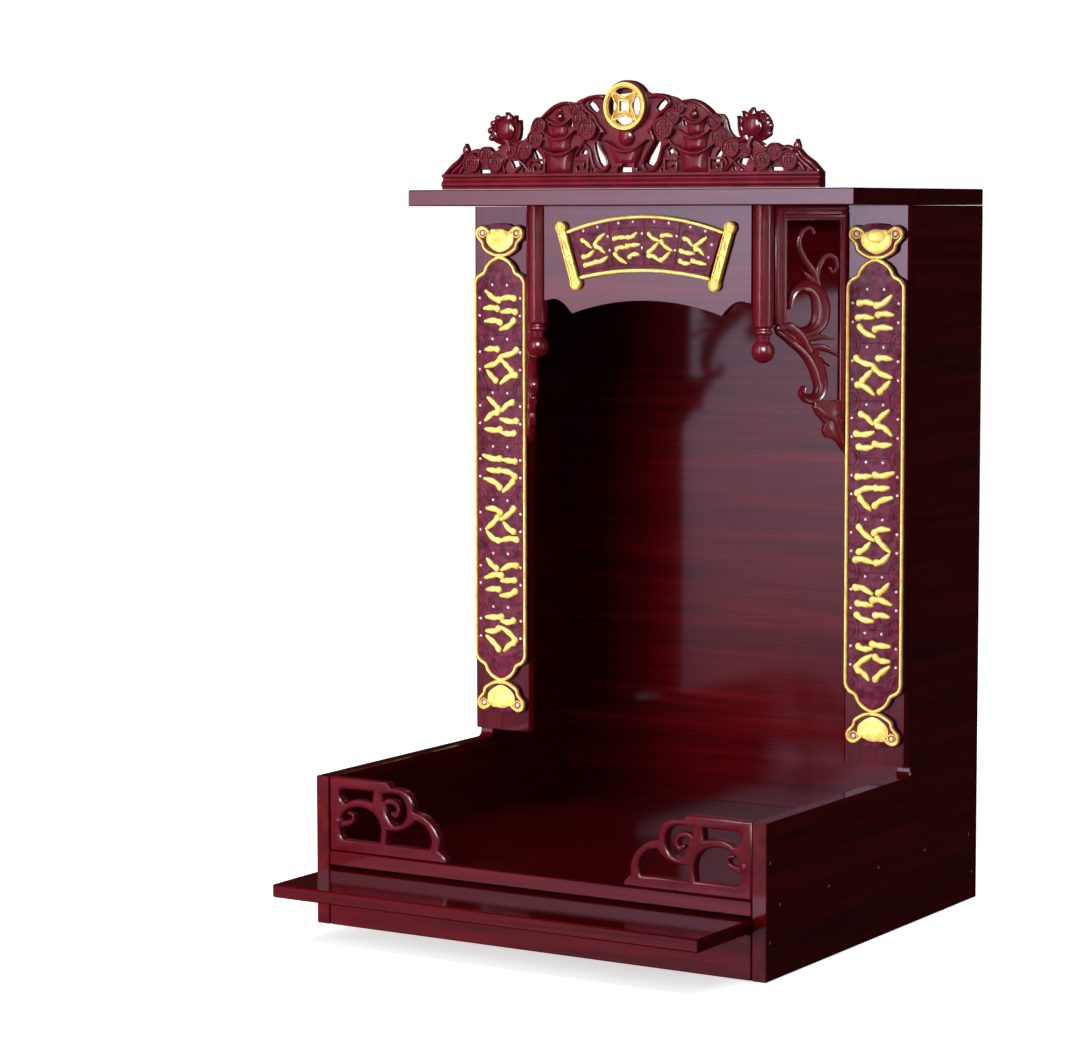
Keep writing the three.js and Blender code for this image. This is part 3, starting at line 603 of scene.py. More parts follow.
def couplet_end(carving, x, shoulder, sign, front, ground):
    def at(point):
        return (x + point[0], shoulder + sign * point[1])

    rim = [at(p) for p in symmetric([*reversed(ORNAMENT_RIM)])]
    ridge(carving, rim, [2.4, 2.5, 2.5, 2.4], front, ground + 0.5, BEAD, 5)
    boat = curve_through([at(p) for p in symmetric(BOAT[1:-1])] + [at(BOAT[0])], 3, True)
    pillow(carving, boat, (x, shoulder + sign * 33.4), front + 0.7, ground + 0.4)
    ball(carving, (x + EGG[0], ground, shoulder + sign * EGG[1]), (EGG[2], ground - front, EGG[3]),
         GOLD_LOOK, 28, 13)
    for side in (-1, 1):
        lobe = at((side * LOBE[0], LOBE[1]))
        # The lobes take the studs' pale pink, a painted highlight
        ball(carving, (lobe[0], ground, lobe[1]), (1.9, ground - front - 0.1, 1.9), PAINTED_HIGHLIGHT_LOOK, 14, 7)
        ridge(carving, circle(*lobe, 3.3, 12), [1.1, 1.1], front + 0.4, ground + 0.3, BEAD, 2,
              closed=True)


def pillow(carving, outline, centre, front, back, look=0):
    """A closed outline in x and z, swelling smoothly to its front."""
    rings = []
    for share, height in ((1, 0), (1, 0.34), (0.95, 0.55), (0.86, 0.71), (0.72, 0.85), (0.52, 0.94),
                          (0.28, 0.99), (0.06, 1)):
        y = back + (front - back) * height
        rings.append([(centre[0] + (px - centre[0]) * share, y, centre[1] + (pz - centre[1]) * share)
                      for px, pz in outline])
    loft(carving, rings, False, look)


def couplet():
    low, high = span("couplet_plaque_right")
    x = (low.x + high.x) / 2
    top = high.z - PLAQUE_END
    foot = low.z + PLAQUE_END
    ground = low.y + GROUND_DROP
    carving = Carving()

    def loop(half):
        upper = curve_through([(x + px, top + pz) for px, pz in symmetric(half)], 4)
        lower = curve_through([(x - px, foot - pz) for px, pz in symmetric(half)], 4)
        return [*upper, *lower]

    plate(carving, loop(PLATE_END), [], ground, high.y, 0.5, GROUND_LOOK)
    ridge(carving, loop(RIM_END), [2.7, 2.7], low.y, ground + 0.4, BEAD, 0, closed=True)
    couplet_end(carving, x, top, 1, low.y, ground)
    couplet_end(carving, x, foot, -1, low.y, ground)
    pitch = (top - foot) / CELLS
    for cell in range(CELLS):
        z = top - pitch * (cell + 0.5)
        brush_cell(carving, (x, z - 1.4), 31, cell, 0, low.y + 0.15, ground + 0.4)
        cell_relief(carving, x, z, 20.8, pitch / 2, ground)
        for dx, dz in ((7, 18.9), (19.2, 8.4), (19.2, -5.8)):
            stud(carving, x - dx, z + dz, ground)
            stud(carving, x + dx, z + dz, ground)
    return carving


# The fan-shaped plaque, placed by a turn of -1 to 1 from its left end to its right, and by
# the height above its lower edge
FAN_HEIGHT = 43.5
FAN_CELLS = 4
# Between neighbouring cells, as a turn, and the lean of the plaque's ends in a cell's marks
FAN_PITCH = 0.475
FAN_LEAN = 12.5
# Half the length of each edge of the fan, and how far its ends hang below its middle
FAN_TOP = (68, 11.8)
FAN_FOOT = (55.6, 5.6)
FAN_EDGE = 1.3
# A rod's ends, from the middle and below the fan's top
ROD_TOP = (74.4, 10)
ROD_FOOT = (61.4, 52.4)


def scroll():
    low, high = span("scroll_plaque")
    ground = low.y + GROUND_DROP
    carving = Carving()

    def at(height, turn):
        rise = height / FAN_HEIGHT
        reach = FAN_FOOT[0] + (FAN_TOP[0] - FAN_FOOT[0]) * rise
        hang = FAN_FOOT[1] + (FAN_TOP[1] - FAN_FOOT[1]) * rise
        return (reach * turn, high.z - FAN_HEIGHT + height - hang * turn * turn)

    sweep = [i / 14 - 1 for i in range(29)]
    outline = [at(FAN_HEIGHT, turn) for turn in sweep] + [at(0, turn) for turn in reversed(sweep)]
    plate(carving, outline, [], ground, high.y, 0.5, GROUND_LOOK)
    for height in (FAN_EDGE, FAN_HEIGHT - FAN_EDGE):
        ridge(carving, [at(height, turn) for turn in sweep], [2.7, 2.7], low.y + 0.3, ground + 0.4,
              BEAD, 1)
    for side in (-1, 1):
        ends = [Vector((side * x, high.z - below)) for x, below in (ROD_FOOT, ROD_TOP)]
        fan_rod(carving, ends, low.y, high.y)
    for cell in range(FAN_CELLS):
        turn = FAN_PITCH * (cell + 0.5 - FAN_CELLS / 2)
        lean = math.radians(FAN_LEAN) * turn
        brush_cell(carving, at(19.75, turn), 23, cell + CELLS, lean, low.y + 0.15, ground + 0.4)
        if cell < FAN_CELLS - 1:
            edge = turn + FAN_PITCH / 2
            line_relief(carving, [at(3, edge), at(FAN_HEIGHT - 3, edge)], ground, steps=1)
        for aside, height in ((-0.096, 38.6), (0.096, 38.6), (0.216, 29.6), (0.216, 18.6)):
            stud(carving, *at(height, turn + aside), ground)
        for height in (6, 10, 34):
            arc = [at(height, turn + aside) for aside in (-0.184, -0.08, 0, 0.08, 0.184)]
            line_relief(carving, arc, ground, 0.8, 3)
    return carving


def fan_rod(carving, ends, front, back):
    """A leaning rod with a knob at each end and two sunk panels."""
    along = (ends[1] - ends[0]).normalized()
    across = Vector((along.y, -along.x))
    half = 3.8

    def at(share, offset=0):
        return ends[0].lerp(ends[1], share) + across * offset

    outline = [at(0, -half), at(0, half), at(1, half), at(1, -half)]
    plate(carving, outline, [], front + 1.3, back, 0.7, GOLD_LOOK)
    for offset in (-half + 0.7, half - 0.7):
        edge = [at(0, offset), at(1, offset)]
        ridge(carving, edge, [1.5, 1.5], front + 0.2, front + 2, BEAD, 1)
    for share in (0.14, 0.5, 0.86):
        bar = [at(share, 1 - half), at(share, half - 1)]
        ridge(carving, bar, [1.5, 1.5], front + 0.3, front + 2, BEAD, 1)
    slant = along * 3.6 - across * 0.8
    for share in (0.32, 0.68):
        mark = [at(share) - slant, at(share), at(share) + slant]
        ridge(carving, mark, [0.8, 2, 0.8], front + 0.3, front + 2, BEAD, 3)
    for knob in (ends[0] - along * 0.4, ends[1] + along * 0.4):
        turned(carving, [(4.8, back), (4.9, front + 1.4), (4.3, front + 0.5), (3.3, front + 0.1),
                         (2.5, front + 0.9), (1.9, front + 0.9), (1.3, front + 0.2), (0.1, front)],
               (knob.x, 0, knob.y), 24, GOLD_LOOK)


# Corner brackets, drawn in s from the drop's axis and in the depth below the top board

CLEARANCE = 0.3
BRACKET_SPAN = 68.6
BRACKET_HEAVY = 7
BRACKET_LEAF = 5
STILE_START = 8.6
STILE_WIDTH = 10
RAIL_HEIGHT = 11
REAR_INNER = 63.1
BRACKET_FOOT = [(68.6, 188), (66, 185), (62.4, 179.6), (58, 176), (53, 175.4), (50.5, 173),
                (49.6, 168), (51.6, 164.6), (47.6, 160.6), (44, 157), (41.5, 151), (43, 147.4),
                (46.5, 146.4), (56, 147.5), (63.1, 146.5)]
BRACKET_BRACE = [(18.6, 88), (24, 92.4), (27.6, 97), (25.6, 102), (22.6, 106)]
# Scrolls and tendrils: each has its path and its widths
BRACKET_SCROLLS = [
    ([(14, 94), (26, 101.5), (36, 109), (42.6, 118), (46.6, 128), (48, 137), (44.6, 144.2),
      (37.4, 145.6), (32.8, 142), (33.6, 138)], [8, 11, 13, 13.4, 13, 11.4, 9, 7.6, 6.2, 5]),
    ([(21.6, 75.4), (24, 66), (30.4, 60.6), (38.6, 61), (45.2, 66.8), (48, 76.4), (46.8, 86.6),
      (40.6, 93.6), (31, 95.4), (22, 92)], [4.6, 6.4, 8.6, 11, 13.4, 15.4, 14.6, 11, 8, 5]),
]
BRACKET_STEMS = [
    ([(38, 110), (32, 99), (22, 92), (12, 92)], [6, 9, 9.4, 5]),
    ([(43.6, 152), (50, 157.6), (58, 161), (63, 170), (67, 183)], [4, 6, 6.6, 6, 2]),
]
BRACKET_TENDRILS = [
    ([(46, 63), (42.4, 51.6), (34.4, 41), (29, 29.6), (31.4, 19.6), (38, 16.8), (41, 20.6)],
     [6, 6.4, 5.8, 5.2, 4.4, 3.8, 3.2]),
    ([(44, 60), (45.6, 46), (51.6, 37.8), (59, 39.6), (60.6, 46.4), (57, 50), (54.4, 47)],
     [5, 4.8, 4.4, 4.2, 4, 3.6, 3]),
    ([(44, 58), (37, 53.6), (31, 48)], [4.4, 3.8, 1.4]),
    ([(34, 101), (46, 99), (57.6, 100.4)], [5.4, 5, 1.2]),
    ([(38, 107), (51, 107.4), (64.8, 114.6)], [6, 5.8, 1.2]),
    ([(40, 113), (47, 113.6), (54.4, 120.6)], [5.4, 5, 1.2]),
]


def bracket():
    drop_low, drop_high = span("drop_column_right")
    axis = (drop_low + drop_high) / 2
    post_low, _ = span("pilaster_right")
    plaque_low, _ = span("couplet_plaque_right")
    top = drop_high.z
    run = Vector((post_low.x - axis.x, post_low.y - axis.y))
    stretch = run.length / BRACKET_SPAN

    def at(point):
        return (point[0] * stretch, top - point[1])

    carving = Carving()
    rear = BRACKET_SPAN + 1
    frame_outline = [(STILE_START, 84), (STILE_START, 0), (rear, 0), (rear, 188), *BRACKET_FOOT[1:],
                     (REAR_INNER, RAIL_HEIGHT), (STILE_START + STILE_WIDTH, RAIL_HEIGHT),
                     *BRACKET_BRACE]
    half = BRACKET_HEAVY / 2
    plate(carving, [at(p) for p in frame_outline], [], -half + 0.8, half - 0.8, 0.8)
    bands = [
        ([(STILE_START + 2, 2), (STILE_START + 2, 88)], 3.4),
        ([(STILE_START + 7.4, 4), (STILE_START + 7.4, 88)], 4.2),
        ([(STILE_START + 4, 2.4), (rear - 2, 2.4)], 3.6),
        ([(STILE_START + 6, 8), (rear - 4, 8)], 4.6),
        ([(REAR_INNER + 2.7, 6), (REAR_INNER + 2.7, 160)], 4.6),
    ]
    for path, width in bands:
        ridge(carving, [at(p) for p in path], [width, width], -half, half, BOTH_ROUND, 1, middle=0.5)
    for strips, section, thick in ((BRACKET_SCROLLS, BOTH_GROOVED, BRACKET_HEAVY),
                                   (BRACKET_STEMS, BOTH_ROUND, BRACKET_HEAVY),
                                   (BRACKET_TENDRILS, BOTH_ROUND, BRACKET_LEAF)):
        for path, widths in strips:
            ridge(carving, [at(p) for p in path], widths, -thick / 2, thick / 2, section, 6,
                  middle=0.5)
    angle = math.atan2(run.y, run.x)
    carving.move(Matrix.Translation((axis.x, axis.y, 0)) @ Matrix.Rotation(angle, 4, "Z"))
    beside_post = post_low.x - CLEARANCE
    beside_plaque = plaque_low.x - CLEARANCE
    for point in carving.points:
        in_front = point.y < post_low.y - CLEARANCE
        point.x = min(point.x, beside_plaque if in_front else beside_post)
    return carving


# Fret plates, drawn in s from the side board inwards and z above the floor

FRET_LENGTH = 106
FRET_HEIGHT = 56.7
FRET_OUTLINE = [
    [0, 0], [106, 0], [105.4, 3.4], [103, 6.6, 99.5, 8.6], [101.5, 17, 96.3, 24.7],
    [88, 35.6, 76.5, 36.4], [77.8, 44, 71.5, 49.6], [65.5, 54, 56, 52.6], [52.6, 56.7], [0, 56.7],
]
FRET_OPENINGS = [
    [[70.6, 36], [70, 49, 57, 48.4], [48.5, 47.6], [49, 30, 59, 24], [70, 25, 70.6, 36]],
    [[9, 44], [9.4, 48.4, 14, 48.4], [40, 48.4], [39, 39.6], [23, 44, 15, 37.2], [9.4, 38, 9, 44]],
    [[51.4, 8.9], [91, 8.9], [95, 17, 89, 24], [85, 29, 78, 29.6], [69, 18.6, 52, 20]],
    [[46, 9.2], [13.4, 9.4], [9, 10, 9, 17], [9, 35.4, 29, 35.4], [44, 34, 47, 20]],
]
FRET_CURLS = [
    ([(49, 39.4), (53.6, 42), (59.4, 41), (62.4, 36.4), (60.2, 31.6), (56.8, 33)],
     [5, 5.2, 4.8, 4.4, 4, 3.4]),
    ([(42, 49.6), (45, 43.4), (49.6, 35.6), (51, 26)], [2.4, 6.4, 6, 4]),
    ([(4, 21), (12, 21), (19.6, 23.6), (20.4, 28.6), (16.4, 30)], [7, 5.6, 4.6, 3.8, 3]),
]


def drawn(stretches, steps=6):
    """Points along straight lines [x, z] and curves [control x, control z, x, z]."""
    points = [Vector(stretches[0])]
    for stretch in stretches[1:]:
        start = points[-1]
        end = Vector(stretch[-2:])
        if len(stretch) == 2:
            points.append(end)
            continue
        control = Vector(stretch[:2])
        for i in range(1, steps + 1):
            t = i / steps
            points.append(start * (1 - t) ** 2 + control * (2 * t * (1 - t)) + end * t * t)
    if (points[0] - points[-1]).length < 0.01:
        points.pop()
    return points


def fret():
    low, high = span("fret_plate_right")
    scale = Vector(((high.x - low.x) / FRET_LENGTH, (high.z - low.z) / FRET_HEIGHT))

    def at(points):
        return [(high.x - p[0] * scale.x, low.z + p[1] * scale.y) for p in points]

    carving = Carving()
    plate(carving, at(drawn(FRET_OUTLINE)), [at(drawn(hole)) for hole in FRET_OPENINGS],
          low.y, high.y, 1.9, 0, 4)
    for path, widths in FRET_CURLS:
        ridge(carving, at(path), widths, low.y + 0.8, high.y - 0.8, BOTH_ROUND, 6, middle=0.5)
    boss = at([(6.8, 22.8)])[0]
    ball(carving, (boss[0], (low.y + high.y) / 2, boss[1]), (4.8, (high.y - low.y) / 2 + 0.7, 6.4), 0,
         24, 13)
    return carving


# Crest, drawn in x from the middle and in z above the top board

CREST_WEB = [
    (161, 11), (156, 16), (151, 20.4), (143, 25.6), (130, 31.6), (118, 29.6), (110, 35), (99, 36),
    (92, 38), (87.6, 43), (85.4, 50), (82, 54.4), (77, 55), (70, 57), (65, 62), (56, 64.6),
    (47, 64.6), (42, 67.6), (31, 70), (21, 70.8), (12, 73),
]
# Openings: each has its path and its widths
CREST_SLOTS = [
    ([(26.2, 58.4), (29.6, 61.6), (33.4, 65.2)], [3.4, 5, 4]),
    ([(19.4, 17.6), (22, 22), (25.2, 28.4), (27.8, 35)], [5.4, 7, 5.4, 2.6]),
    ([(75.6, 15), (77.6, 22), (82.4, 30)], [2.4, 4.6, 2.2]),
    ([(98.8, 17), (101.4, 23), (106.6, 31)], [5, 5.8, 2.6]),
    ([(36, 26.6), (39.4, 28.6)], [3, 4.4]),
    ([(123.4, 13.8), (132.6, 13.8)], [2.6, 2.6]),
    ([(91, 14), (93, 14.6)], [2.4, 2.4]),
    ([(29.4, 13.6), (31.4, 14)], [2, 2]),
    ([(113, 33.6), (117, 31.6)], [1.6, 1]),
    ([(66.4, 51.6), (69, 48)], [1.6, 2.6]),
    ([(49, 51), (50.4, 47)], [2, 3]),
]
# Coins: x, z, radius and how far back the face lies
CREST_COINS = [
    (138.7, 20.2, 7.5, 1.6), (125.9, 26.2, 6.8, 2.6), (117, 20.3, 7.2, 1.4), (90.4, 29.9, 7.7, 1.4),
    (80.8, 38, 7.2, 2.4), (76.8, 48.4, 6.1, 1.8), (101, 27.4, 5.9, 2.9), (33.5, 45.1, 8.4, 0.9),
    (40.4, 53, 6.6, 1.9), (45.8, 60.3, 5.2, 2.9),
]
# Petals and stems: path, widths and how far back the front lies
CREST_PETALS = [
    ([(102, 35), (99, 41), (97.4, 47), (95.6, 52.4)], [6, 7.4, 6, 1.4], 2.6),
    ([(103, 46), (101.4, 52), (99.4, 56)], [7, 6, 1.4], 3),
    ([(107, 50), (106.6, 54.4), (107.4, 58.4)], [9, 8.4, 1.6], 3),
    ([(111, 36), (117.6, 39.4), (119.6, 45.6), (116.6, 51.6), (111.6, 54.6)], [5, 6.8, 7, 6, 3.6], 2.8),
]
CREST_STEMS = [
    ([(113.4, 38.6), (116.2, 44), (113.4, 50.6)], [1.6, 2.4, 1.6], 1.4),
    ([(102.4, 39.6), (99.6, 44.4), (101.2, 50)], [1.6, 2.4, 1.6], 1.4),
    ([(104, 29), (105.4, 33.4), (107, 37)], [4.4, 4.4, 5.4], 2.6),
    ([(50, 64.6), (56.6, 64.6), (64, 62), (70.4, 57.6), (75.4, 53.4)], [2.6, 3.4, 3.6, 3.6, 2.8], 2.4),
    ([(20.4, 69), (28, 69.2), (35.4, 67.6), (38.4, 63.6), (34.8, 59), (28.4, 54.4), (24.4, 48),
      (19.6, 42.6)], [4, 3.4, 3.2, 3, 3, 3, 3.2, 3.8], 2.2),
    ([(21.6, 43), (24.4, 36), (21.4, 29.8), (16.8, 23), (15.4, 16.6), (19.8, 13), (26, 14.8),
      (29.8, 21.6), (31.4, 28.6), (36.4, 33.8)], [3, 2.9, 2.8, 2.8, 2.9, 3, 3, 3, 2.8, 2.4], 2),
    ([(85.6, 13), (91.6, 18.6), (99, 24.6)], [2.8, 2.8, 2.4], 2.8),
    ([(99.4, 12.8), (93.6, 18), (88, 24)], [2.6, 2.6, 2], 3.2),
    ([(94.6, 36.6), (97.6, 33.6), (101.6, 35)], [1.8, 2, 1.6], 2.6),
    ([(163.4, 12), (157, 17.6), (151, 21.8), (146.6, 27)], [3, 4.2, 4, 2.6], 1.8),
    ([(157.4, 12.6), (152, 17), (147.6, 20.8), (144.6, 25.4)], [3.6, 4, 3.6, 2.4], 2.6),
    ([(150.6, 12.8), (148, 16.4), (144, 20)], [4, 3.8, 2.6], 3.2),
    ([(131.6, 27.8), (135.6, 29.4), (141, 27.8)], [3.4, 4, 3], 3),
    ([(44.6, 25), (41, 30.6), (36.6, 36.4)], [2.4, 3, 3], 3),
    ([(84.4, 22), (86.6, 17.6), (84, 13.4)], [3, 3, 2.6], 3),
    ([(109, 13), (110, 18), (106.6, 24)], [3, 3, 2.4], 3.2),
]
CREST_PETAL_TIPS = [(115.6, 54.6, 2.6), (119.8, 50.4, 2.7), (122.2, 45.2, 2.7), (121.4, 39.6, 2.6)]
# Ingots: middle, half width and height of the horns, height of the dip, half width and
# height of the hull, and how far back the face lies
CREST_INGOTS = [
    (59.5, 16.2, 32.7, 26.4, 10.6, 11.6, 1), (59.5, 13.8, 44.5, 38, 8.4, 28.4, 1.8),
    (59.5, 10.5, 53.8, 49.2, 6.4, 40, 2.6),
]
CREST_HOOKS = [38.8, 77.4]
HOOK = [(-6.2, 11.4), (6.2, 11.4), (6.2, 19.4), (-2.4, 19.4), (-2.4, 15.6), (1.6, 15.6), (1.6, 17.2),
        (4, 17.2), (4, 13.6), (-4, 13.6), (-4, 21), (6.2, 21), (6.2, 23.2), (-6.2, 23.2)]
MOULDING_HEIGHT = 12
COIN_HEIGHT = 61.7
SEAT_RADIUS = 19.6
SEAT_BORE = 15.2
SLOT_UNDER_INGOT = [(-6, 12.4), (6, 12.4), (5.6, 15.8), (-5.6, 15.8)]
INGOT_FOOT = [(6.4, 12), (11, 12), (10.4, 14), (7.6, 16), (8.6, 19), (2, 19), (3, 16.4), (6, 16)]
WEB_FRONT = 5.6
WEB_BACK = 10
FACE_BACK = 9


def strip(path, widths, steps=4):
    """The outline of a band along a smooth path."""
    line = curve_through(path, steps)
    left = []
    right = []
    for i, at in enumerate(line):
        along = (line[min(i + 1, len(line) - 1)] - line[max(i - 1, 0)]).normalized()
        half = between(widths, i / (len(line) - 1)) / 2
        across = Vector((-along.y, along.x)) * half
        left.append(at + across)
        right.append(at - across)
    return left + right[::-1]


def small_coin(carving, x, z, radius, face, back):
    """A coin with a raised rim and a raised square with a pit."""
    sunk = face + 1
    turned(carving, [(radius, back), (radius, face + 0.5), (radius - 0.5, face), (radius - 1.2, face),
                     (radius - 1.7, sunk), (0.05, sunk)], (x, 0, z), 28)
    half = radius * 0.24
    ridge(carving, square(x, z, half), [1, 1], face + 0.1, sunk + 0.3, BEAD, 0, closed=True)
    for side in (-1, 1):
        upright = [(x + side * radius * 0.48, z + end * radius * 0.42) for end in (-1, 1)]
        level = [(x + end * half, z + side * radius * 0.5) for end in (-1, 1)]
        for bar in (upright, level):
            ridge(carving, bar, [0.9, 0.9], face + 0.2, sunk + 0.3, BEAD, 0)


def ingot(carving, middle, horn, horn_height, dip, hull, hull_height, face, back):
    """A boat-shaped ingot: a dipped rim between two horns over a rounded hull."""
    rim = [(middle + horn * t, dip + (horn_height - dip) * abs(t) ** 1.7)
           for t in [i / 5 - 1 for i in range(11)]]
    half = [(horn * 0.97, horn_height - 1.6), (horn * 0.78, (horn_height + hull_height) / 2),
            (hull, hull_height), (0, hull_height - 0.6)]
    lower = curve_through([(middle + px, pz) for px, pz in symmetric(half)], 5)
    pillow(carving, [*rim, *lower], (middle, (dip + hull_height) / 2), face, back)
    ridge(carving, [(px, pz - 0.9) for px, pz in rim[::2]], [2, 3.2, 3.6, 3.2, 2], face - 0.8,
          face + 3, BEAD, 4)
    brow = [(middle + horn * t * 0.62, dip - 3 + (horn_height - dip) * 0.5 * abs(t) ** 1.7)
            for t in (-1, -0.5, 0, 0.5, 1)]
    ridge(carving, brow, [1, 1.5, 1.5, 1], face - 0.4, face + 2, BEAD, 4)


def moulding(carving, half, front, back):
    """A dark foot line, a half round, a hollow and a fillet, along the foot of the crest."""
    turns = [math.pi * k / 10 for k in range(1, 10)]
    profile = [(back, 0), (front + 1.3, 0), (front + 1.3, 1.5)]
    profile += [(front + 2.4 - 2.4 * math.sin(t), 3.9 - 2.3 * math.cos(t)) for t in turns]
    profile += [(front + 1 + 1.7 * math.sin(t), 8 - 1.6 * math.cos(t)) for t in turns]
    profile += [(front + 0.6, 9.9), (front + 0.6, MOULDING_HEIGHT - 0.4),
                (front + 1, MOULDING_HEIGHT), (back, MOULDING_HEIGHT)]
    loft(carving, [[(x, y, z) for y, z in profile] for x in (-half, half)])


def crest_half(carving, front):
    for x, z, radius, face in CREST_COINS:
        small_coin(carving, x, z, radius, front + face, front + FACE_BACK)
    for *shape, face in CREST_INGOTS:
        ingot(carving, *shape, front + face, front + FACE_BACK)
    stack = CREST_INGOTS[0][0]
    ball(carving, (stack - 0.6, front + 5, 54.6), (3.7, 3.9, 3.7), 0, 20, 11)
    ball(carving, (stack - 0.7, front + 5, 59.4), (1.7, 2, 1.7), 0, 14, 7)
    ball(carving, (107.8, front + 6.4, 45.6), (8.8, 6, 9.2), 0, 36, 17)
    for x, z, radius in CREST_PETAL_TIPS:
        ball(carving, (x, front + 5.6, z), (radius, 2.6, radius), 0, 16, 7)
    ball(carving, (144.7, front + 5.6, 30), (3.1, 3.4, 4.2), 0, 18, 9)
    ridge(carving, [(144.7, 27.6), (144.7, 31), (144.9, 35)], [5, 4.6, 1], front + 2.6, front + 8.6,
          ROUND, 4)
    for strips, section in ((CREST_PETALS, KEELED), (CREST_STEMS, ROUND)):
        for path, widths, face in strips:
            ridge(carving, path, widths, front + face, front + FACE_BACK, section, 6)
    for x in CREST_HOOKS:
        hook = [(x + dx, z) for dx, z in HOOK]
        plate(carving, hook, [], front + 2.4, front + FACE_BACK, 0.45)
    ball(carving, (9.6, front + 3.4, 14.4), (1.9, 1.9, 1.9), 0, 14, 7)


def crest():
    low, high = span("crest")
    coin_low, _ = span("crest_coin")
    front = coin_low.y
    carving = Carving()
    half = Carving()
    crest_half(half, front)
    carving.add(half.points, half.faces)
    carving.add([(-p.x, p.y, p.z) for p in half.points], half.faces)
    slots = [strip(path, widths) for path, widths in CREST_SLOTS]
    mirrored = [[(-p.x, p.y) for p in slot] for slot in slots]
    bore = circle(0, COIN_HEIGHT, SEAT_BORE, 48)
    holes = [*slots, *mirrored, bore, SLOT_UNDER_INGOT]
    plate(carving, curve_through(symmetric(CREST_WEB), 3), holes, front + WEB_FRONT, front + WEB_BACK,
          0.8)
    seat = [(SEAT_BORE, front + 3.4), (SEAT_RADIUS - 0.8, front + 3.4), (SEAT_RADIUS, front + 4.2),
            (SEAT_RADIUS, high.y - 0.6), (SEAT_RADIUS - 0.6, high.y), (SEAT_BORE, high.y)]
    hoops = [[(x, y, z) for x, z in circle(0, COIN_HEIGHT, radius, 64)] for radius, y in seat]
    loft(carving, [list(section) for section in zip(*hoops)], True)
    for side in (-1, 1):
        foot = [(side * x, z) for x, z in INGOT_FOOT]
        plate(carving, foot, [], front + 1.6, front + FACE_BACK, 0.5)
    ingot(carving, 0, 18, 36.8, 28.5, 9, 18, front + 0.9, front + FACE_BACK)
    ball(carving, (0, front + 5.4, 38.7), (7.2, 5, 7.2), 0, 28, 13)
    moulding(carving, high.x, front, high.y)
    carving.move(Matrix.Translation((0, 0, low.z)))
    return carving


# Gilded coin: its lens-shaped windows and the lines round its square hole
LENS_REACH = 13.8
LENS_HALF_ANGLE = 0.53
LENS_SILL = [(11.6, 0.6), (8.9, 0.42), (7.6, 0), (8.9, -0.42), (11.6, -0.6)]
SQUARE_HOLE = 3.5
SQUARE_LINE = 4.4
SQUARE_BROW = [(14.6, 0.785), (10, 0.5), (6.4, 0), (10, -0.5), (14.6, -0.785)]


def gold_coin():
    """A ring round a square frame with hollow sides, pierced between them and in the middle."""
    low, high = span("crest_coin")
    middle = (low + high) / 2
    radius = (high.x - low.x) / 2
    face = low.y
    carving = Carving()
    windows = []

    def at(r, angle):
        return (middle.x + r * math.cos(angle), middle.z + r * math.sin(angle))

    for turn in (0, math.pi / 2, math.pi, 3 * math.pi / 2):
        window = [at(LENS_REACH, turn + LENS_HALF_ANGLE * (i / 6 - 1)) for i in range(13)]
        sill = [at(r, turn + angle) for r, angle in LENS_SILL]
        windows.append([*window, *curve_through([window[-1], *sill, window[0]], 3)[1:-1]])
        brow = [at(r, turn + angle) for r, angle in SQUARE_BROW]
        ridge(carving, brow, [1, 1], face + 0.2, face + 1.4, BEAD, 4)
    holes = [*windows, square(middle.x, middle.z, SQUARE_HOLE)]
    # The sunk plate takes the darker gold, painted shade between the raised lines
    plate(carving, circle(middle.x, middle.z, radius, 72), holes, face + 1, high.y, 0.3, 1)
    for inset, width in ((0.9, 1.8), (2.3, 1.2)):
        ridge(carving, circle(middle.x, middle.z, radius - inset, 72), [width, width], face, face + 1.4,
              BEAD, 0, closed=True)
    frame_line = [(middle.x + SQUARE_LINE * dx, middle.z + SQUARE_LINE * dz)
                  for dx, dz in ((-1, -1), (0, -1), (1, -1), (1, 0), (1, 1), (0, 1), (-1, 1), (-1, 0))]
    ridge(carving, frame_line, [1.4, 1.4], face, face + 1.4, BEAD, 0, closed=True)
    return carving


def make_carvings():
    place_pairs([
        (couplet(), "gilded_couplet", "couplet_plaque", "gold_paint", PLAQUE_FINISH),
        (bracket(), "scrolled_bracket", "corner_bracket", "carved_wood", [CARVED]),
        (fret(), "pierced_fret", "fret_plate", "carved_wood", [CARVED]),
    ])
    place(scroll(), "gilded_scroll", "scroll_plaque", "gold_paint", PLAQUE_FINISH)
    place(crest(), "carved_crest", "crest", "carved_wood", [CARVED])
    place(gold_coin(), "gilded_coin", "crest_coin", "gold_paint", [GOLD, GOLD_PAINTED_SHADE])


# Stage, light and camera

FLOOR_FLAT = 2000
FLOOR_RISE = 2400


def make_floor():
    """A pale floor that curves up all round into a backdrop."""
    profile = [(0.01, 0)]
    for i in range(25):
        turn = math.pi / 2 * i / 24
        profile.append((FLOOR_FLAT + FLOOR_RISE * math.sin(turn), FLOOR_RISE * (1 - math.cos(turn))))
    bowl = Carving()
    turned(bowl, profile, (0, 0, 0), 96, upright=True)
    # The last face would close the bowl's top
    bowl.faces.pop()
    bowl.looks.pop()
    floor = add_object("floor", bowl.mesh("floor"))
    look = Look("pale_floor")
    tone = look.noise(3, detail=2)
    look.link(look.ramp(tone, [(0.3, (0.86, 0.86, 0.86, 1)), (0.7, (0.88, 0.88, 0.88, 1))]),
              "Base Color")
    look.set(Roughness=0.9, Emission_Color=WHITE, Emission_Strength=0.6)
    floor.data.materials.append(look.material)
    floor.visible_glossy = False
    floor.visible_diffuse = False
    floor.visible_shadow = False


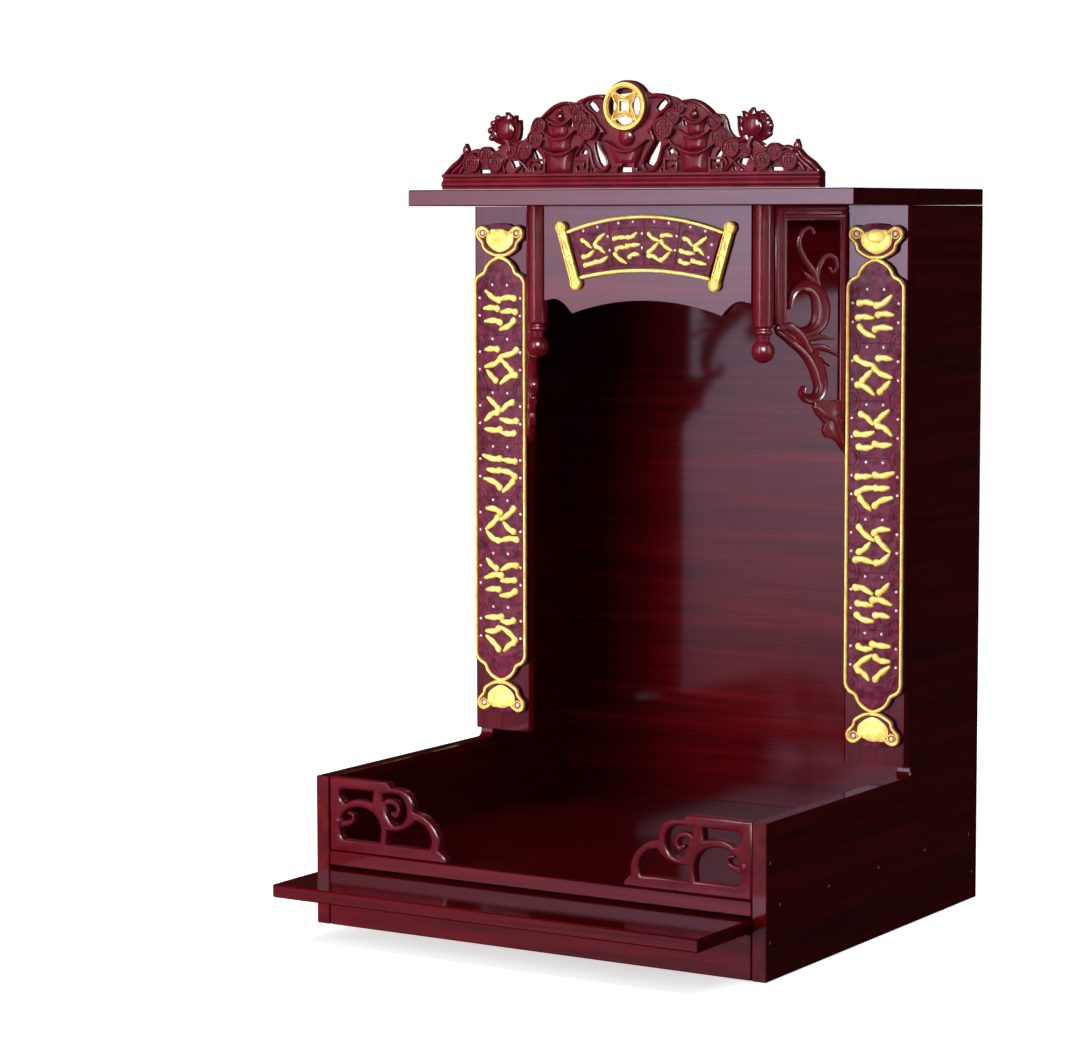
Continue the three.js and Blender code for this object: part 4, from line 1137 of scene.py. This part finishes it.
def soft_light(name, azimuth, distance, height, size, radiance, aim, tint=(1, 1, 1)):
    """A soft box towards an azimuth from the front, aimed at a point of the cabinet."""
    width, tall = size
    data = bpy.data.lights.new(name, "AREA")
    data.shape = "RECTANGLE"
    data.size = width
    data.size_y = tall
    data.color = tint
    data.energy = radiance * math.pi * width * tall
    light = add_object(name, data)
    turn = math.radians(azimuth)
    at = Vector((distance * math.sin(turn), -distance * math.cos(turn), height))
    light.location = at
    light.rotation_euler = (Vector(aim) - at).to_track_quat("-Z", "Y").to_euler()
    light.visible_camera = False
    return light


def grade(light, low, high, left, right, foot=0):
    """Makes a soft box fade from its top to its foot and from one side to the other."""
    light.data.use_nodes = True
    tree = light.data.node_tree
    where = add_node(tree, "ShaderNodeNewGeometry").outputs["Parametric"]
    parts = add_node(tree, "ShaderNodeSeparateXYZ", {0: where}).outputs
    fades = []
    for axis, first, start, end in (("Y", foot, low, high), ("X", 0, left, right)):
        inputs = {"Value": parts[axis], "From Min": first, "To Min": start, "To Max": end}
        fades.append(add_node(tree, "ShaderNodeMapRange", inputs).outputs["Result"])
    product = add_node(tree, "ShaderNodeMath", {0: fades[0], 1: fades[1]}, operation="MULTIPLY")
    tree.links.new(product.outputs[0], tree.nodes["Emission"].inputs["Strength"])


CARVED_PIECES = ["turned_drop_right", "turned_drop_left", "scrolled_bracket_right",
                 "scrolled_bracket_left", "pierced_fret_right", "pierced_fret_left", "carved_crest"]
PORCH_PIECES = CARVED_PIECES[:4]
FRONT_TINT = (0.84, 0.76, 1)


def light_only(names, lights):
    """Keeps lights to some objects."""
    group = bpy.data.collections.new("lit")
    for name in names:
        group.objects.link(bpy.data.objects[name])
    for light in lights:
        light.light_linking.receiver_collection = group


def make_lights():
    """Boxes that only light the matt part of a surface, and boxes that only shine in its gloss."""
    middle = (0, 0, 0.3)
    upper = (0, 0, 0.55)
    low_fill = soft_light("low_fill", -30, 1.3, 0.08, (1.4, 0.16), 26, (0, 0, 0.08))
    porch_fill = soft_light("porch_fill", 48, 1.6, 0.5, (0.6, 0.6), 9, (0.12, 0, 0.45))
    crest_fill = soft_light("crest_fill", 0, 1.6, 1, (0.8, 0.8), 4, (0, 0, 0.6))
    fills = [
        soft_light("front_fill", -34, 1.8, 0.75, (0.9, 1.7), 7, (0, 0, 0.75)),
        soft_light("top_fill", -20, 1.2, 2.2, (0.9, 0.9), 3, middle),
        soft_light("side_fill", 64, 2.2, 1.5, (1, 1), 1.3, middle),
        low_fill, porch_fill, crest_fill,
    ]
    for light in fills:
        light.visible_glossy = False
    board_box = soft_light("board_box", -29, 1.7, 0.42, (1.15, 2.34), 17, (0, 0, 0.42), FRONT_TINT)
    grade(board_box, 0.035, 1, 0.24, 1.15, 0.256)
    board_glints = [
        board_box,
        soft_light("side_strip", 80, 1.5, 0.6, (0.16, 1.2), 4, (0, 0, 0.45)),
        soft_light("camera_glint", 36, 2.3, 1.05, (0.3, 0.4), 45, (0, 0, 0.5)),
    ]
    carving_box = soft_light("carving_box", -29, 1.7, 0.72, (1.15, 1.74), 1.3, (0, 0, 0.72),
                             FRONT_TINT)
    grade(carving_box, 0.12, 1, 0.25, 1.1)
    carving_glints = [
        carving_box,
        soft_light("left_strip", -8, 2, 1, (0.16, 2), 22, upper),
        soft_light("right_strip", 96, 2, 1, (0.16, 2), 18, upper),
        soft_light("porch_box", 74, 1.9, 0.6, (0.5, 1.2), 1, (0.12, 0, 0.45), (1, 0.72, 0.85)),
        soft_light("crest_glint", 34, 2.2, 1.5, (1, 1), 55, (0, 0, 0.6)),
    ]
    for light in board_glints + carving_glints:
        light.visible_diffuse = False
    floor_light = soft_light("floor_light", 0, 0.01, 2.6, (3.4, 3.4), 2, (0, 0, 0))
    light_only(["floor"], [floor_light])
    light_only(CARVED_PIECES, carving_glints)
    light_only(PORCH_PIECES, [porch_fill])
    light_only(["carved_crest"], [crest_fill])
    boards = [*BOARD_GRAIN, "gilded_couplet_right", "gilded_couplet_left", "gilded_scroll",
              "gilded_coin"]
    light_only(boards, [low_fill, *board_glints])


ROOM_LIGHT = 0.2
GLOSS_LIGHT = 0.012


def make_world():
    """White to the camera, a dim room to matt surfaces and dimmer still in their gloss."""
    world = bpy.data.worlds.new("studio")
    bpy.context.scene.world = world
    world.use_nodes = True
    tree = world.node_tree
    rays = add_node(tree, "ShaderNodeLightPath").outputs
    room = tree.nodes["Background"]
    room.inputs["Color"].default_value = WHITE
    room.inputs["Strength"].default_value = ROOM_LIGHT
    shade = room.outputs[0]
    for ray, strength in (("Is Glossy Ray", GLOSS_LIGHT), ("Is Camera Ray", 1)):
        other = add_node(tree, "ShaderNodeBackground", {"Color": WHITE, "Strength": strength})
        inputs = {0: rays[ray], 1: shade, 2: other.outputs[0]}
        shade = add_node(tree, "ShaderNodeMixShader", inputs).outputs[0]
    tree.links.new(shade, tree.nodes["World Output"].inputs["Surface"])


# The camera's place, turn and focal length, worked out from the photograph's straight edges
CAMERA_AT = Vector((1.2860, -2.2202, 0.5412))
CAMERA_YAW = 32.002
CAMERA_DOWN = 5.315
CAMERA_ROLL = -0.102
FOCAL_PIXELS = 3333.7


def make_camera():
    data = bpy.data.cameras.new("camera")
    data.sensor_fit = "HORIZONTAL"
    data.sensor_width = 36
    data.lens = FOCAL_PIXELS * data.sensor_width / IMAGE_WIDTH
    camera = add_object("camera", data)
    yaw = Matrix.Rotation(math.radians(CAMERA_YAW), 4, "Z")
    tilt = Matrix.Rotation(math.radians(90 - CAMERA_DOWN), 4, "X")
    roll = Matrix.Rotation(math.radians(CAMERA_ROLL), 4, "Z")
    camera.matrix_world = Matrix.Translation(CAMERA_AT) @ yaw @ tilt @ roll
    bpy.context.scene.camera = camera


bpy.context.scene.view_settings.view_transform = "Standard"
make_camera()
make_world()
make_floor()
finish_boards()
make_drops()
make_carvings()
make_lights()
